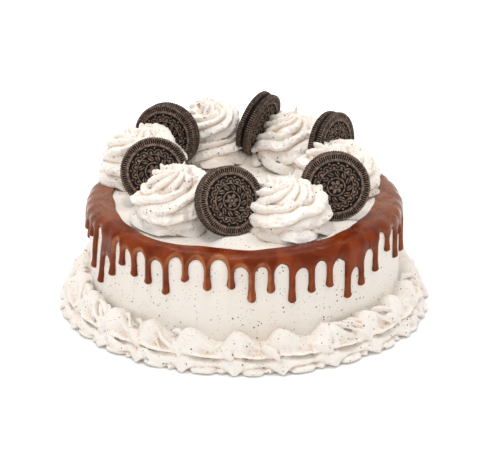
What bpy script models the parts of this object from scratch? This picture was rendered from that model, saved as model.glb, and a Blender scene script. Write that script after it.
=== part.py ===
"""A round cookies and cream cake, uncut.

An eight inch frosted cake stands on the floor. A chocolate glaze covers the edge of its top and
runs down its side in drips. A border of piped shells goes round its foot. Six piped swirls and six
sandwich cookies stand on its top in a ring, each cookie pressed into the cream beside it.

The origin is the centre of the underside, +Z is up and -Y is the front. Lengths are in metres.
"""

import math
import random

import bmesh
import bpy
from mathutils import Vector

MM = 0.001
GAP = 0.3 * MM                      # clearance between pieces that touch

# Cake
CAKE_RADIUS = 102.0 * MM
CAKE_HEIGHT = 73.0 * MM
SHOULDER_RADIUS = 6.0 * MM          # rounding between the side and the top
FOOT_RADIUS = 1.5 * MM              # rounding between the side and the underside
CAKE_STEPS = 72
SHOULDER_STEPS = 3

# Chocolate glaze
GLAZE_THICKNESS = 1.5 * MM
GLAZE_INNER_RADIUS = 88.5 * MM      # where the glaze begins on top of the cake
GLAZE_EDGE_HEIGHT = 65.5 * MM       # lower edge of the glaze between the drips
DRIP_HALF_WIDTH = 2.2 * MM
DRIP_THICKNESS = 2.0 * MM
DRIP_BULB_HALF_WIDTH = 2.6 * MM
DRIP_BULB_THICKNESS = 2.5 * MM
DRIP_FLARE = 2.4                    # how much wider a drip is where it leaves the glaze
DRIP_PITCH = 7.2                    # degrees, on average
DRIP_TIP_RANGE = (36.0, 56.0)       # heights of the tips at the back, in millimetres
DRIP_SLANT = 0.14                   # degrees per millimetre that drips at the far left run aside
DRIP_SLANT_BEARINGS = (44.0, 64.0)  # to the left of the front: where the slant begins and is full
# Bearing in degrees from the front towards +X and height of the tip in millimetres
FRONT_DRIPS = (
    (-79.5, 57), (-72.6, 57), (-67.8, 36), (-60.8, 30), (-53.9, 42), (-48.8, 53), (-42.8, 49),
    (-36.2, 47), (-28.8, 43), (-21.2, 54), (-13.1, 50), (-4.7, 52), (2.5, 43), (9.3, 49),
    (16.9, 41), (24.2, 46), (31.4, 47), (39.5, 36), (46.1, 41), (54.1, 46), (62.7, 54),
    (70.8, 44), (76.8, 56),
)

# Piped border
SHELL_COUNT = 23
FRONT_PEAKS = (-19.0, -2.6, 11.6, 29.0, 45.0, 60.0)    # bearings of the peaks at the front
SHELL_SIDE_SPREAD = 0.14            # extra share of the reach at the left and the right
SHELL_SIZE_RANGE = (0.94, 1.04)
BORDER_BACK_RADIUS = CAKE_RADIUS + GAP + 0.2 * MM
# Sections of a shell: share of the way from its peak to the next one's, then distance from the
# wall and height in millimetres of the top at the wall, the crest, the face, the lip, the slit
# under it, the skirt, the skirt's edge and the floor line
SHELL_SECTIONS = (
    (0.00, (
        (0.0, 23.8), (4.6, 25.2), (11.3, 19.2), (13.9, 12.1),
        (10.2, 10.8), (15.0, 8.0), (18.3, 1.2), (14.8, 0),
    )),
    (0.20, (
        (0.0, 21.8), (6.4, 23.6), (11.0, 15.8), (14.8, 11.6),
        (8.2, 9.5), (15.0, 7.8), (16.6, 4.4), (16.9, 0),
    )),
    (0.38, (
        (0.0, 18.9), (7.6, 18.9), (9.7, 13.0), (14.9, 11.4),
        (8.0, 9.1), (14.7, 7.5), (16.0, 5.0), (17.4, 0),
    )),
    (0.54, (
        (0.0, 16.8), (8.2, 16.0), (10.0, 12.0), (14.2, 11.0),
        (8.6, 9.0), (14.1, 7.4), (15.2, 5.2), (16.2, 0),
    )),
    (0.73, (
        (0.0, 16.8), (4.0, 18.2), (12.0, 14.2), (13.3, 10.6),
        (11.0, 9.4), (14.0, 7.4), (15.6, 4.0), (15.6, 0),
    )),
    (0.88, (
        (0.0, 22.0), (4.0, 23.6), (11.8, 17.5), (13.4, 11.3),
        (11.8, 10.2), (14.8, 7.5), (17.2, 2.6), (13.6, 0),
    )),
)

# Piped swirls: x, y, base radius, height, and how far the peak leans towards +X, in millimetres
SWIRLS = {
    "swirl_left": (-67.5, 33.8, 28.0, 39.5, 3.0),
    "swirl_front_left": (-45.5, -43.0, 26.6, 42.5, 8.0),
    "swirl_back_left": (-24.6, 72.6, 26.6, 43.5, 2.0),
    "swirl_back_right": (30.7, 67.5, 26.4, 40.0, 4.5),
    "swirl_front_right": (26.2, -52.2, 27.8, 39.0, 2.5),
    "swirl_right": (60.4, 14.3, 28.0, 35.0, 0.0),
}
SWIRL_RIDGES = 8
SWIRL_POINTS_PER_RIDGE = 3
SWIRL_ROWS = 9
SWIRL_TURNS = 2.4                   # coils from the base to the peak
SWIRL_PEAK_RADIUS = 1.0 * MM
SWIRL_RIDGE_DEPTH = 0.10            # share of the radius
SWIRL_COIL_DEPTH = 0.08             # share of the radius
SWIRL_TUCK = 0.13                   # share of the radius that the foot draws in
SWIRL_TWIST = 2.3                   # radians that a ridge winds round between base and peak

# Sandwich cookies: x, y and lift in millimetres, turn and lean in degrees. A turn of 0 faces the
# front, a lean of 0 stands upright, a cookie with a lean below 0 tips over towards its face, and
# the lift raises the cookie off the cake.
COOKIES = {
    "cookie_back_left": (-51.6, 47.5, 1.7, -22.9, 5.1),
    "cookie_left": (-58.0, -13.2, 0.0, -2.4, 22.8),
    "cookie_front": (-9.7, -63.5, 0.0, 26.1, 23.2),
    "cookie_back": (9.2, 68.0, 2.6, 61.0, -14.0),
    "cookie_back_right": (57.6, 35.3, 0.0, 55.6, 3.5),
    "cookie_right": (57.7, -39.1, 0.0, 6.2, 13.9),
}
COOKIE_RADIUS = 22.25 * MM
WAFER_THICKNESS = 3.3 * MM
WAFER_CHAMFER = 0.9 * MM
FILLING_RADIUS = 20.9 * MM
FILLING_THICKNESS = 2.2 * MM
COOKIE_THICKNESS = 2 * WAFER_THICKNESS + FILLING_THICKNESS + 2 * GAP
COOKIE_STEPS = 24

WELD_DISTANCE = 0.00001

# Colour, roughness and metallic value of each material
FINISHES = {
    "frosting": ((0.86, 0.80, 0.73), 0.55, 0.0),
    "piped_cream": ((0.88, 0.83, 0.77), 0.5, 0.0),
    "chocolate_glaze": ((0.115, 0.030, 0.012), 0.22, 0.0),
    "cocoa_wafer": ((0.028, 0.017, 0.012), 0.7, 0.0),
    "dark_filling": ((0.012, 0.008, 0.006), 0.8, 0.0),
}


def clear_scene():
    """Remove every object that is already in the file."""
    for old in list(bpy.data.objects):
        bpy.data.objects.remove(old, do_unlink=True)


def new_collection(name):
    collection = bpy.data.collections.new(name)
    bpy.context.scene.collection.children.link(collection)
    return collection


def finish(name):
    """Return the Principled material called name, made on first use."""
    material = bpy.data.materials.get(name)
    if material is None:
        colour, roughness, metallic = FINISHES[name]
        material = bpy.data.materials.new(name)
        material.use_nodes = True
        shader = material.node_tree.nodes["Principled BSDF"]
        shader.inputs["Base Color"].default_value = (*colour, 1.0)
        shader.inputs["Roughness"].default_value = roughness
        shader.inputs["Metallic"].default_value = metallic
        material.diffuse_color = (*colour, 1.0)
    return material


def add_object(name, mesh, collection, material_name=None):
    piece = bpy.data.objects.new(name, mesh)
    collection.objects.link(piece)
    if material_name is not None:
        mesh.materials.append(finish(material_name))
    return piece


def mark_as_cutter(piece):
    piece.hide_render = True
    piece.display_type = "WIRE"


def turned(name, profile, steps, collection, material_name=None, closed=False):
    """Turn a profile of (radius, height) points, which runs down its outer side, round the Z axis."""
    mesh = bpy.data.meshes.new(name)
    edges = [(i, i + 1) for i in range(len(profile) - 1)]
    if closed:
        edges.append((len(profile) - 1, 0))
    mesh.from_pydata([(radius, 0.0, height) for radius, height in profile], edges, [])
    piece = add_object(name, mesh, collection, material_name)
    screw = piece.modifiers.new("turn", "SCREW")
    screw.axis = "Z"
    screw.steps = steps
    screw.render_steps = steps
    screw.use_merge_vertices = True
    screw.merge_threshold = WELD_DISTANCE
    screw.use_smooth_shade = True
    return piece


def lofted(name, rings, collection, material_name=None, closed=False):
    """Skin over rings of points with equal counts, which run counterclockwise seen from the last one.

    A closed loft joins its last ring to the first, and an open one is capped at both ends.
    """
    size = len(rings[0])
    faces = []
    for index in range(len(rings) if closed else len(rings) - 1):
        here, there = index * size, (index + 1) % len(rings) * size
        for i in range(size):
            after = (i + 1) % size
            faces.append((here + i, here + after, there + after, there + i))
    if not closed:
        last = (len(rings) - 1) * size
        faces.append(tuple(reversed(range(size))))
        faces.append(tuple(range(last, last + size)))
    mesh = bpy.data.meshes.new(name)
    mesh.from_pydata([tuple(point) for ring in rings for point in ring], [], faces)
    return add_object(name, mesh, collection, material_name)


def bake_modifiers(piece):
    """Replace the mesh of piece by the mesh that its modifiers give."""
    bpy.context.view_layer.update()
    graph = bpy.context.evaluated_depsgraph_get()
    mesh = bpy.data.meshes.new_from_object(piece.evaluated_get(graph))
    piece.modifiers.clear()
    piece.data = mesh


def combine(piece, operation, other):
    """Cut piece by, or join it with, an object or all objects of a collection."""
    cut = piece.modifiers.new(operation.lower(), "BOOLEAN")
    cut.operation = operation
    cut.solver = "EXACT"
    if isinstance(other, bpy.types.Collection):
        cut.operand_type = "COLLECTION"
        cut.collection = other
    else:
        cut.object = other
    bake_modifiers(piece)


def keep_largest_body(piece):
    """Drop the loose scraps that a cut leaves beside the main body."""
    work = bmesh.new()
    work.from_mesh(piece.data)
    unseen = set(work.verts)
    bodies = []
    while unseen:
        body = {unseen.pop()}
        edge_of_body = list(body)
        while edge_of_body:
            vertex = edge_of_body.pop()
            for edge in vertex.link_edges:
                neighbour = edge.other_vert(vertex)
                if neighbour in unseen:
                    unseen.discard(neighbour)
                    body.add(neighbour)
                    edge_of_body.append(neighbour)
        bodies.append(body)
    bodies.sort(key=len)
    scraps = [vertex for body in bodies[:-1] for vertex in body]
    bmesh.ops.delete(work, geom=scraps, context="VERTS")
    work.to_mesh(piece.data)
    work.free()


def shade_smooth(piece, sharp_angle=math.radians(50)):
    piece.data.shade_smooth()
    piece.data.set_sharp_from_angle(angle=sharp_angle)


def arc(centre_radius, centre_height, radius, start, end, steps):
    """Points of an arc in the (radius, height) plane, its angles in degrees from the outward way."""
    points = []
    for i in range(steps + 1):
        angle = math.radians(start + (end - start) * i / steps)
        points.append((centre_radius + radius * math.cos(angle), centre_height + radius * math.sin(angle)))
    return points


def build_cake(collection):
    """The frosted cake as one turned solid."""
    shoulder_centre = (CAKE_RADIUS - SHOULDER_RADIUS, CAKE_HEIGHT - SHOULDER_RADIUS)
    profile = [(0.0, CAKE_HEIGHT)]
    profile += arc(*shoulder_centre, SHOULDER_RADIUS, 90.0, 0.0, SHOULDER_STEPS)
    profile.append((CAKE_RADIUS, FOOT_RADIUS))
    profile.append((CAKE_RADIUS - FOOT_RADIUS, 0.0))
    profile.append((0.0, 0.0))
    return turned("cake_body", profile, CAKE_STEPS, collection, "frosting")


def glaze_profile():
    """Closed section of the glaze, from its inner edge over the shoulder and back along the cake."""
    centre = (CAKE_RADIUS - SHOULDER_RADIUS, CAKE_HEIGHT - SHOULDER_RADIUS)
    outside = GAP + GLAZE_THICKNESS
    lip = 0.6 * GLAZE_THICKNESS
    profile = [(GLAZE_INNER_RADIUS, CAKE_HEIGHT + GAP + 0.4 * GLAZE_THICKNESS)]
    profile.append((GLAZE_INNER_RADIUS + lip, CAKE_HEIGHT + outside))
    profile += arc(*centre, SHOULDER_RADIUS + outside, 90.0, 0.0, SHOULDER_STEPS)
    profile.append((CAKE_RADIUS + outside, GLAZE_EDGE_HEIGHT + lip))
    profile.append((CAKE_RADIUS + GAP + 0.5 * GLAZE_THICKNESS, GLAZE_EDGE_HEIGHT))
    profile.append((CAKE_RADIUS + GAP, GLAZE_EDGE_HEIGHT))
    profile += arc(*centre, SHOULDER_RADIUS + GAP, 0.0, 90.0, SHOULDER_STEPS)
    profile.append((GLAZE_INNER_RADIUS, CAKE_HEIGHT + GAP))
    return profile


def drip_places():
    """Bearing and tip height of every drip: those seen at the front, and a seeded rule behind."""
    places = [(bearing, height * MM) for bearing, height in FRONT_DRIPS]
    first, last = FRONT_DRIPS[-1][0], FRONT_DRIPS[0][0] + 360.0
    count = round((last - first) / DRIP_PITCH) - 1
    step = (last - first) / (count + 1)
    rng = random.Random(7)
    for i in range(1, count + 1):
        bearing = first + step * (i + rng.uniform(-0.14, 0.14))
        places.append((bearing, rng.uniform(*DRIP_TIP_RANGE) * MM))
    return places


def drip_slant(bearing):
    """Degrees that a drip runs to the left for each millimetre that it runs down."""
    begins, full = DRIP_SLANT_BEARINGS
    return DRIP_SLANT * min(max((-bearing - begins) / (full - begins), 0.0), 1.0)


def build_drip(index, bearing, tip, collection):
    """One drip: sections with a flat back against the wall, from a wide root to a round bulb."""
    wall = CAKE_RADIUS + GAP + 0.05 * MM
    half, thick = DRIP_HALF_WIDTH, DRIP_THICKNESS
    # height, half width and thickness
    stations = (
        (tip, 0.5 * half, 0.5 * thick),
        (tip + 2.2 * MM, DRIP_BULB_HALF_WIDTH, DRIP_BULB_THICKNESS),
        (tip + 5.0 * MM, half, thick),
        (GLAZE_EDGE_HEIGHT - 3.5 * MM, 1.15 * half, thick),
        (GLAZE_EDGE_HEIGHT + 1.5 * MM, DRIP_FLARE * half, 0.7 * GLAZE_THICKNESS),
    )
    outline = ((1.0, 0.0), (0.62, 1.0), (-0.62, 1.0), (-1.0, 0.0))
    rings = []
    for height, half_width, thickness in stations:
        run = max(GLAZE_EDGE_HEIGHT - height, 0.0) / MM
        angle = math.radians(bearing - drip_slant(bearing) * run - 90.0)
        outward = Vector((math.cos(angle), math.sin(angle), 0.0))
        sideways = Vector((-math.sin(angle), math.cos(angle), 0.0))
        middle = outward * wall + Vector((0.0, 0.0, height))
        rings.append([middle - sideways * half_width * x + outward * thickness * y for x, y in outline])
    return lofted(f"drip_{index}", rings, collection)


def build_glaze(collection):
    """Glaze over the edge of the cake, joined with its drips."""
    glaze = turned("chocolate_glaze", glaze_profile(), CAKE_STEPS, collection, "chocolate_glaze", closed=True)
    bake_modifiers(glaze)
    drips = new_collection("drips")
    for index, (bearing, tip) in enumerate(drip_places()):
        build_drip(index, bearing, tip, drips)
    combine(glaze, "UNION", drips)
    for drip in list(drips.objects):
        bpy.data.objects.remove(drip)
    bpy.data.collections.remove(drips)
    keep_largest_body(glaze)
    shade_smooth(glaze)
    return glaze


def peak_bearings():
    """Bearings of all peaks in degrees, evenly spaced behind those at the front."""
    behind = SHELL_COUNT - len(FRONT_PEAKS)
    first, last = FRONT_PEAKS[-1], FRONT_PEAKS[0] + 360.0
    step = (last - first) / (behind + 1)
    return list(FRONT_PEAKS) + [first + step * i for i in range(1, behind + 1)]


def build_border(collection):
    """Ring of shells, lofted through the sections of one shell after the other as one closed skin."""
    rng = random.Random(11)
    peaks = peak_bearings()
    peaks.append(peaks[0] + 360.0)
    rings = []
    for index in range(SHELL_COUNT):
        size = rng.uniform(*SHELL_SIZE_RANGE) * MM
        for share, section in SHELL_SECTIONS:
            bearing = math.radians(peaks[index] + (peaks[index + 1] - peaks[index]) * share)
            outward = Vector((math.sin(bearing), -math.cos(bearing), 0.0))
            spread = 1.0 + SHELL_SIDE_SPREAD * math.sin(bearing) ** 2
            ring = []
            for out, height in section:
                reach = BORDER_BACK_RADIUS + spread * size * out
                ring.append(outward * reach + Vector((0.0, 0.0, size * height)))
            ring.append(outward * BORDER_BACK_RADIUS)
            rings.append(ring)
    border = lofted("base_border", rings, collection, "piped_cream", closed=True)
    shade_smooth(border)
    return border


def swirl_reach(share, angle, ridge_angle):
    """Radius of a swirl as a share of its base radius, at a share of its height.

    A dome curve gives the outline, a helical wave the coils, and a wave round the swirl the ridges
    that the star nozzle leaves.
    """
    dome = (1.0 - share ** 2.8) ** 0.56
    belly = 1.0 - SWIRL_TUCK * math.cos(math.pi / 2 * min(1.0, share / 0.3))
    coil = 1.0 + SWIRL_COIL_DEPTH * math.cos(2 * math.pi * SWIRL_TURNS * share - angle)
    ridge = 1.0 + SWIRL_RIDGE_DEPTH * math.cos(SWIRL_RIDGES * ridge_angle)
    return dome * belly * coil * ridge / (1.0 + SWIRL_COIL_DEPTH)


def build_swirl(name, index, place, collection):
    """One piped swirl, lofted upwards through rings of ridges that wind round to a leaning peak."""
    x, y, radius, height, lean = (value * MM for value in place)
    columns = SWIRL_RIDGES * SWIRL_POINTS_PER_RIDGE
    foot = Vector((x, y, CAKE_HEIGHT + GAP))
    peak = foot + Vector((lean, 0.0, height))
    phase = 1.7 * index
    rings = []
    for row in range(SWIRL_ROWS + 1):
        share = (row / SWIRL_ROWS) ** 0.9
        centre = foot.lerp(peak, share)
        ring = []
        for column in range(columns):
            ridge_angle = 2 * math.pi * column / columns
            angle = ridge_angle + SWIRL_TWIST * share + phase
            reach = max(radius * swirl_reach(share, angle, ridge_angle), SWIRL_PEAK_RADIUS)
            ring.append(centre + Vector((reach * math.cos(angle), reach * math.sin(angle), 0.0)))
        rings.append(ring)
    return lofted(name, rings, collection, "piped_cream")


def cookie_stand(name, place):
    """Empty at the middle of a cookie, its +Z out of the front wafer."""
    x, y, lift, turn, lean = place
    tilt = math.radians(lean)
    rise = COOKIE_RADIUS * math.cos(tilt) + COOKIE_THICKNESS / 2 * abs(math.sin(tilt))
    stand = bpy.data.objects.new(f"{name}_stand", None)
    stand.location = (x * MM, y * MM, CAKE_HEIGHT + GAP + lift * MM + rise)
    stand.rotation_euler = (math.pi / 2 - tilt, 0.0, math.radians(turn))
    return stand


def disc_profile(radius, low, high, chamfer):
    """Profile of a disc between two heights, its upper edge chamfered."""
    return [(0.0, high), (radius - chamfer, high), (radius, high - chamfer), (radius, low), (0.0, low)]


def build_cookie(name, place, collection, cutters):
    """A cookie as two wafers and a filling on one stand, and the space that it needs in the cream."""
    stand = cookie_stand(name, place)
    collection.objects.link(stand)
    half_filling = FILLING_THICKNESS / 2
    wafer = disc_profile(COOKIE_RADIUS, half_filling + GAP, COOKIE_THICKNESS / 2, WAFER_CHAMFER)
    front = turned(f"{name}_front_wafer", wafer, COOKIE_STEPS, collection, "cocoa_wafer")
    back = turned(f"{name}_back_wafer", wafer, COOKIE_STEPS, collection, "cocoa_wafer")
    back.rotation_euler = (math.pi, 0.0, 0.0)
    core = [
        (0.0, half_filling), (FILLING_RADIUS, half_filling),
        (FILLING_RADIUS, -half_filling), (0.0, -half_filling),
    ]
    filling = turned(f"{name}_filling", core, COOKIE_STEPS, collection, "dark_filling")
    half = COOKIE_THICKNESS / 2 + GAP
    room = [(0.0, half), (COOKIE_RADIUS + 2 * GAP, half), (COOKIE_RADIUS + 2 * GAP, -half), (0.0, -half)]
    envelope = turned(f"{name}_envelope", room, COOKIE_STEPS, cutters)
    mark_as_cutter(envelope)
    for piece in (front, back, filling, envelope):
        piece.parent = stand


def glaze_clearance(cutters):
    """The glaze grown by the gap, which the swirls that reach over it are cut by."""
    outside = CAKE_RADIUS + 5.0 * MM
    low, high = CAKE_HEIGHT - 2.0 * MM, CAKE_HEIGHT + 2 * GAP + GLAZE_THICKNESS
    inner = GLAZE_INNER_RADIUS - 2 * GAP
    ring = [(inner, low), (inner, high), (outside, high), (outside, low)]
    clearance = turned("glaze_clearance", ring, CAKE_STEPS, cutters, closed=True)
    mark_as_cutter(clearance)
    return clearance


def build_part():
    clear_scene()
    cake = new_collection("cookies_and_cream_cake")
    cutters = new_collection("cutters")
    cookie_rooms = new_collection("cookie_rooms")
    build_cake(cake)
    build_glaze(cake)
    build_border(cake)
    for name, place in COOKIES.items():
        build_cookie(name, place, cake, cookie_rooms)
    clearance = glaze_clearance(cutters)
    for index, (name, place) in enumerate(SWIRLS.items()):
        swirl = build_swirl(name, index, place, cake)
        combine(swirl, "DIFFERENCE", clearance)
        combine(swirl, "DIFFERENCE", cookie_rooms)
        keep_largest_body(swirl)
        shade_smooth(swirl)


build_part()
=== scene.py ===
"""The looks of a round cookies and cream cake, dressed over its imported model.

The frosted body, the chocolate glaze with its drips, the border of piped shells, the six piped
swirls and the six sandwich cookies are surfaces worked out with numpy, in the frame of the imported
model: metres, +Z up, -Y at the front. A bearing is an angle round the cake from the front towards
+X. The studio comes last.
"""

import logging
import math
import random
from dataclasses import dataclass, field
from enum import Enum

import bmesh
import bpy
import numpy as np
from bpy.types import Material, Mesh, Node, NodeSocket, Object
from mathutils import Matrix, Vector

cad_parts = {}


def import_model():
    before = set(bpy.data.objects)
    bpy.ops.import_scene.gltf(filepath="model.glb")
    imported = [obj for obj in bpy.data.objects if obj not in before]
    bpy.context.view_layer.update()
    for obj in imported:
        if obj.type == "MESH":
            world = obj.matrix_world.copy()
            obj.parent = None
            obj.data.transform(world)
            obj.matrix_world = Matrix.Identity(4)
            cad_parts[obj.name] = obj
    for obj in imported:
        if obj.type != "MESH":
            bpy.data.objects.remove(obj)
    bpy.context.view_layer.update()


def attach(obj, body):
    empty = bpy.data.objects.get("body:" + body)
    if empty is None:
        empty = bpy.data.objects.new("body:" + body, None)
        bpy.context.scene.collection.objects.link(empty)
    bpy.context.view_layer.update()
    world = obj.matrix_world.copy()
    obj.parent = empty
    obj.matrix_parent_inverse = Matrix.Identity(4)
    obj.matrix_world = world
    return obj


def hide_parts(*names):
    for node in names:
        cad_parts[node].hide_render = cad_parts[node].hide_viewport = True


log = logging.getLogger("cake")

Array = np.ndarray
Colour = tuple[float, float, float]

MM = 0.001
GAP = 0.3 * MM
BODY = "root"
TAU = 2.0 * math.pi

CAKE_RADIUS = 102.0 * MM
CAKE_HEIGHT = 73.0 * MM
SHOULDER_RADIUS = 6.0 * MM
WALL_TOP = CAKE_HEIGHT - SHOULDER_RADIUS
TOP_FLAT_RADIUS = CAKE_RADIUS - SHOULDER_RADIUS
SHOULDER_LENGTH = SHOULDER_RADIUS * math.pi / 2

# Points of a mesh closer than this are one
MERGE_DISTANCE = 1e-6
# Wavelengths of the noise run from its size over the second number to its size over the first
WAVE_RATES = (0.65, 1.45)
# Creases of the cream: reach and full depth in millimetres, and weight
CREASES = ((1.23, 0.34, 0.95), (3.7, 2.2, 1.1))
# Weighted sum of their depths up to which the skin counts as open
CREASE_START = 0.12


class Slot(Enum):
    """Material slots of the record."""

    FROSTING = "frosting"
    CREAM = "piped_cream"
    GLAZE = "chocolate_glaze"
    WAFER = "cocoa_wafer"
    # Slot of the filling, whose near black is painted shade of the groove
    FILLING = "dark_filling"


def smoothstep(values: Array, low: float, high: float) -> Array:
    """Ramp from 0 at low to 1 at high, with the cubic 3t^2 - 2t^3 between."""
    share = np.clip((values - low) / (high - low), 0.0, 1.0)
    return share * share * (3.0 - 2.0 * share)


def round_off(share: Array, part: float) -> Array:
    """Quarter circle from 0 at the start to 1 once share has reached part."""
    return np.sqrt(1.0 - (1.0 - np.clip(share / part, 0.0, 1.0)) ** 2)


def front_degrees(bearing: Array) -> Array:
    """Bearings in radians as degrees from -180 to 180, with 0 at the front."""
    return (np.degrees(bearing) + 180.0) % 360.0 - 180.0


def outward_at(bearing: Array) -> Array:
    """Unit vectors away from the cake's axis at bearings in radians: (sin b, -cos b, 0)."""
    return np.stack([np.sin(bearing), -np.cos(bearing), np.zeros_like(bearing)], axis=-1)


def sine_noise(points: Array, size: float, seed: int, waves: int = 20) -> Array:
    """Smooth noise of about -1 to 1.

    It is a sum of sine waves, each with its own direction and phase and a wavelength near size,
    divided by the root of their number.

    Args:
        points: Places in space, the last axis holding x, y and z.
        size: Middle wavelength in metres.
        seed: Seed of the random directions.
        waves: Number of waves.

    Returns:
        One value for each point.
    """
    rng = np.random.default_rng(seed)
    directions = rng.normal(size=(waves, 3))
    directions /= np.linalg.norm(directions, axis=1, keepdims=True)
    rates = TAU / size * rng.uniform(*WAVE_RATES, waves)
    phases = rng.uniform(0.0, TAU, waves)
    total = np.zeros(points.shape[:-1])
    for direction, rate, phase in zip(directions, rates, phases):
        total += np.sin(points @ direction * rate + phase)
    return total / math.sqrt(waves)


def smooth_curve(stations: Array, count: int) -> Array:
    """Rows evenly spaced on the Catmull-Rom curve through the rows of a table.

    Between rows b and c, with a before and d after, it is half of 2b + (c - a)t
    + (2a - 5b + 4c - d)t^2 + (3b - a - 3c + d)t^3.

    Args:
        stations: The rows that the curve runs through.
        count: Number of rows wanted.

    Returns:
        The rows on the curve.
    """
    ends = 2 * stations[:1] - stations[1:2], 2 * stations[-1:] - stations[-2:-1]
    padded = np.concatenate([ends[0], stations, ends[1]])
    place = np.linspace(0.0, len(stations) - 1, count)
    row = np.minimum(place.astype(int), len(stations) - 2)
    t = (place - row)[:, None]
    a, b, c, d = (padded[row + k] for k in range(4))
    return (2 * b + (c - a) * t + (2 * a - 5 * b + 4 * c - d) * t**2 + (3 * b - a - 3 * c + d) * t**3) / 2


def grid_faces(rows: int, columns: int, wrapped: bool = False) -> Array:
    """Quads between the points of a grid, whose index is row * columns + column.

    Args:
        rows: Number of rows of points.
        columns: Number of points in a row.
        wrapped: Whether the last column is joined to the first.

    Returns:
        An array of quads, four indices each.
    """
    row = np.arange(rows - 1)[:, None] * columns
    column = np.arange(columns if wrapped else columns - 1)[None, :]
    after = (column + 1) % columns
    quads = np.stack([row + column, row + after, row + columns + after, row + columns + column], axis=-1)
    return quads.reshape(-1, 4)


def facing_out(points: Array, faces: Array) -> Array:
    """The quads of a closed body, turned round if they face inwards.

    Args:
        points: The body's points.
        faces: Its quads, all facing out or all facing in.

    Returns:
        The quads. The sum of a . (b x c) + a . (c x d) over them, six times the volume that they
        hold, is positive.
    """
    a, b, c, d = (points[faces[:, i]] for i in range(4))
    volume = np.sum(a * np.cross(b, c)) + np.sum(a * np.cross(c, d))
    return faces if volume > 0.0 else faces[:, ::-1]


@dataclass
class Surface:
    """Points, quads and named values of one or several closed bodies."""

    points: Array
    faces: Array
    values: dict[str, Array] = field(default_factory=dict)

    @staticmethod
    def of_rings(points: Array) -> "Surface":
        """A body from rings of points, which its own ends close, facing outwards."""
        faces, flat = grid_faces(*points.shape[:2], wrapped=True), points.reshape(-1, 3)
        return Surface(flat, facing_out(flat, faces))

    @staticmethod
    def closed_tube(points: Array) -> "Surface":
        """A body from rings of points, with a pole in the middle of its first and last ring.

        Args:
            points: Rows of points, each a ring.

        Returns:
            The body. Its fans' quads have their last two corners on the pole, and the poles are
            its last two points.
        """
        rows, columns = points.shape[:2]
        poles = np.array([points[end].mean(axis=0) for end in (0, -1)])
        flat = np.concatenate([points.reshape(-1, 3), poles])
        ring = np.arange(columns)
        after = (ring + 1) % columns
        start = (rows - 1) * columns
        first, last = np.full(columns, rows * columns), np.full(columns, rows * columns + 1)
        head = np.stack([after, ring, first, first], axis=-1)
        foot = np.stack([start + ring, start + after, last, last], axis=-1)
        faces = np.concatenate([grid_faces(rows, columns, wrapped=True), head, foot])
        return Surface(flat, facing_out(flat, faces))

    @staticmethod
    def joined(parts: list["Surface"]) -> "Surface":
        """Several surfaces as one.

        Args:
            parts: The surfaces.

        Returns:
            One surface with the values that the first one has.
        """
        starts = np.cumsum([0] + [len(part.points) for part in parts[:-1]])
        points = np.concatenate([part.points for part in parts])
        faces = np.concatenate([part.faces + start for part, start in zip(parts, starts)])
        names = parts[0].values
        values = {name: np.concatenate([part.values[name] for part in parts]) for name in names}
        return Surface(points, faces, values)

    def mesh(self, name: str) -> Mesh:
        """The surface as a mesh whose coinciding points are merged.

        Args:
            name: Name of the mesh.

        Returns:
            The mesh, with the surface's values stored on its points.
        """
        mesh = bpy.data.meshes.new(name)
        mesh.vertices.add(len(self.points))
        mesh.vertices.foreach_set("co", self.points.astype(np.float32).ravel())
        mesh.loops.add(self.faces.size)
        mesh.loops.foreach_set("vertex_index", self.faces.astype(np.int32).ravel())
        mesh.polygons.add(len(self.faces))
        mesh.polygons.foreach_set("loop_start", np.arange(0, self.faces.size, 4, dtype=np.int32))
        for key, values in self.values.items():
            store_values(mesh, key, values)
        mesh.update(calc_edges=True)
        work = bmesh.new()
        work.from_mesh(mesh)
        bmesh.ops.remove_doubles(work, verts=work.verts, dist=MERGE_DISTANCE)
        work.to_mesh(mesh)
        work.free()
        return mesh


def store_values(mesh: Mesh, name: str, values: Array) -> None:
    """Store a value for each point of a mesh under a name that a material reads."""
    layer = mesh.attributes.new(name, "FLOAT", "POINT")
    layer.data.foreach_set("value", values.astype(np.float32).ravel())


def mesh_arrays(mesh: Mesh) -> tuple[Array, Array, Array]:
    """Points, point normals and edges of a mesh as arrays.

    Args:
        mesh: The mesh.

    Returns:
        Points and normals with three numbers each, and edges with two indices each.
    """
    points = np.zeros(len(mesh.vertices) * 3, np.float32)
    mesh.vertices.foreach_get("co", points)
    normals = np.zeros(len(mesh.vertices) * 3, np.float32)
    mesh.vertex_normals.foreach_get("vector", normals)
    edges = np.zeros(len(mesh.edges) * 2, np.int32)
    mesh.edges.foreach_get("vertices", edges)
    return points.reshape(-1, 3).astype(float), normals.reshape(-1, 3).astype(float), edges.reshape(-1, 2)


def neighbour_mean(values: Array, edges: Array, rounds: int) -> Array:
    """Each point's values replaced by the mean of its neighbours' and its own, several times over.

    Args:
        values: A row of values for each point.
        edges: Pairs of indices of neighbours.
        rounds: How many times.

    Returns:
        The new rows.
    """
    count = len(values)
    ends = np.concatenate([edges[:, 0], edges[:, 1]])
    others = np.concatenate([edges[:, 1], edges[:, 0]])
    shares = np.bincount(ends, minlength=count)[:, None] + 1.0
    for _ in range(rounds):
        sums = [np.bincount(ends, weights=column[others], minlength=count) for column in values.T]
        values = (np.stack(sums, axis=-1) + values) / shares
    return values


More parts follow.
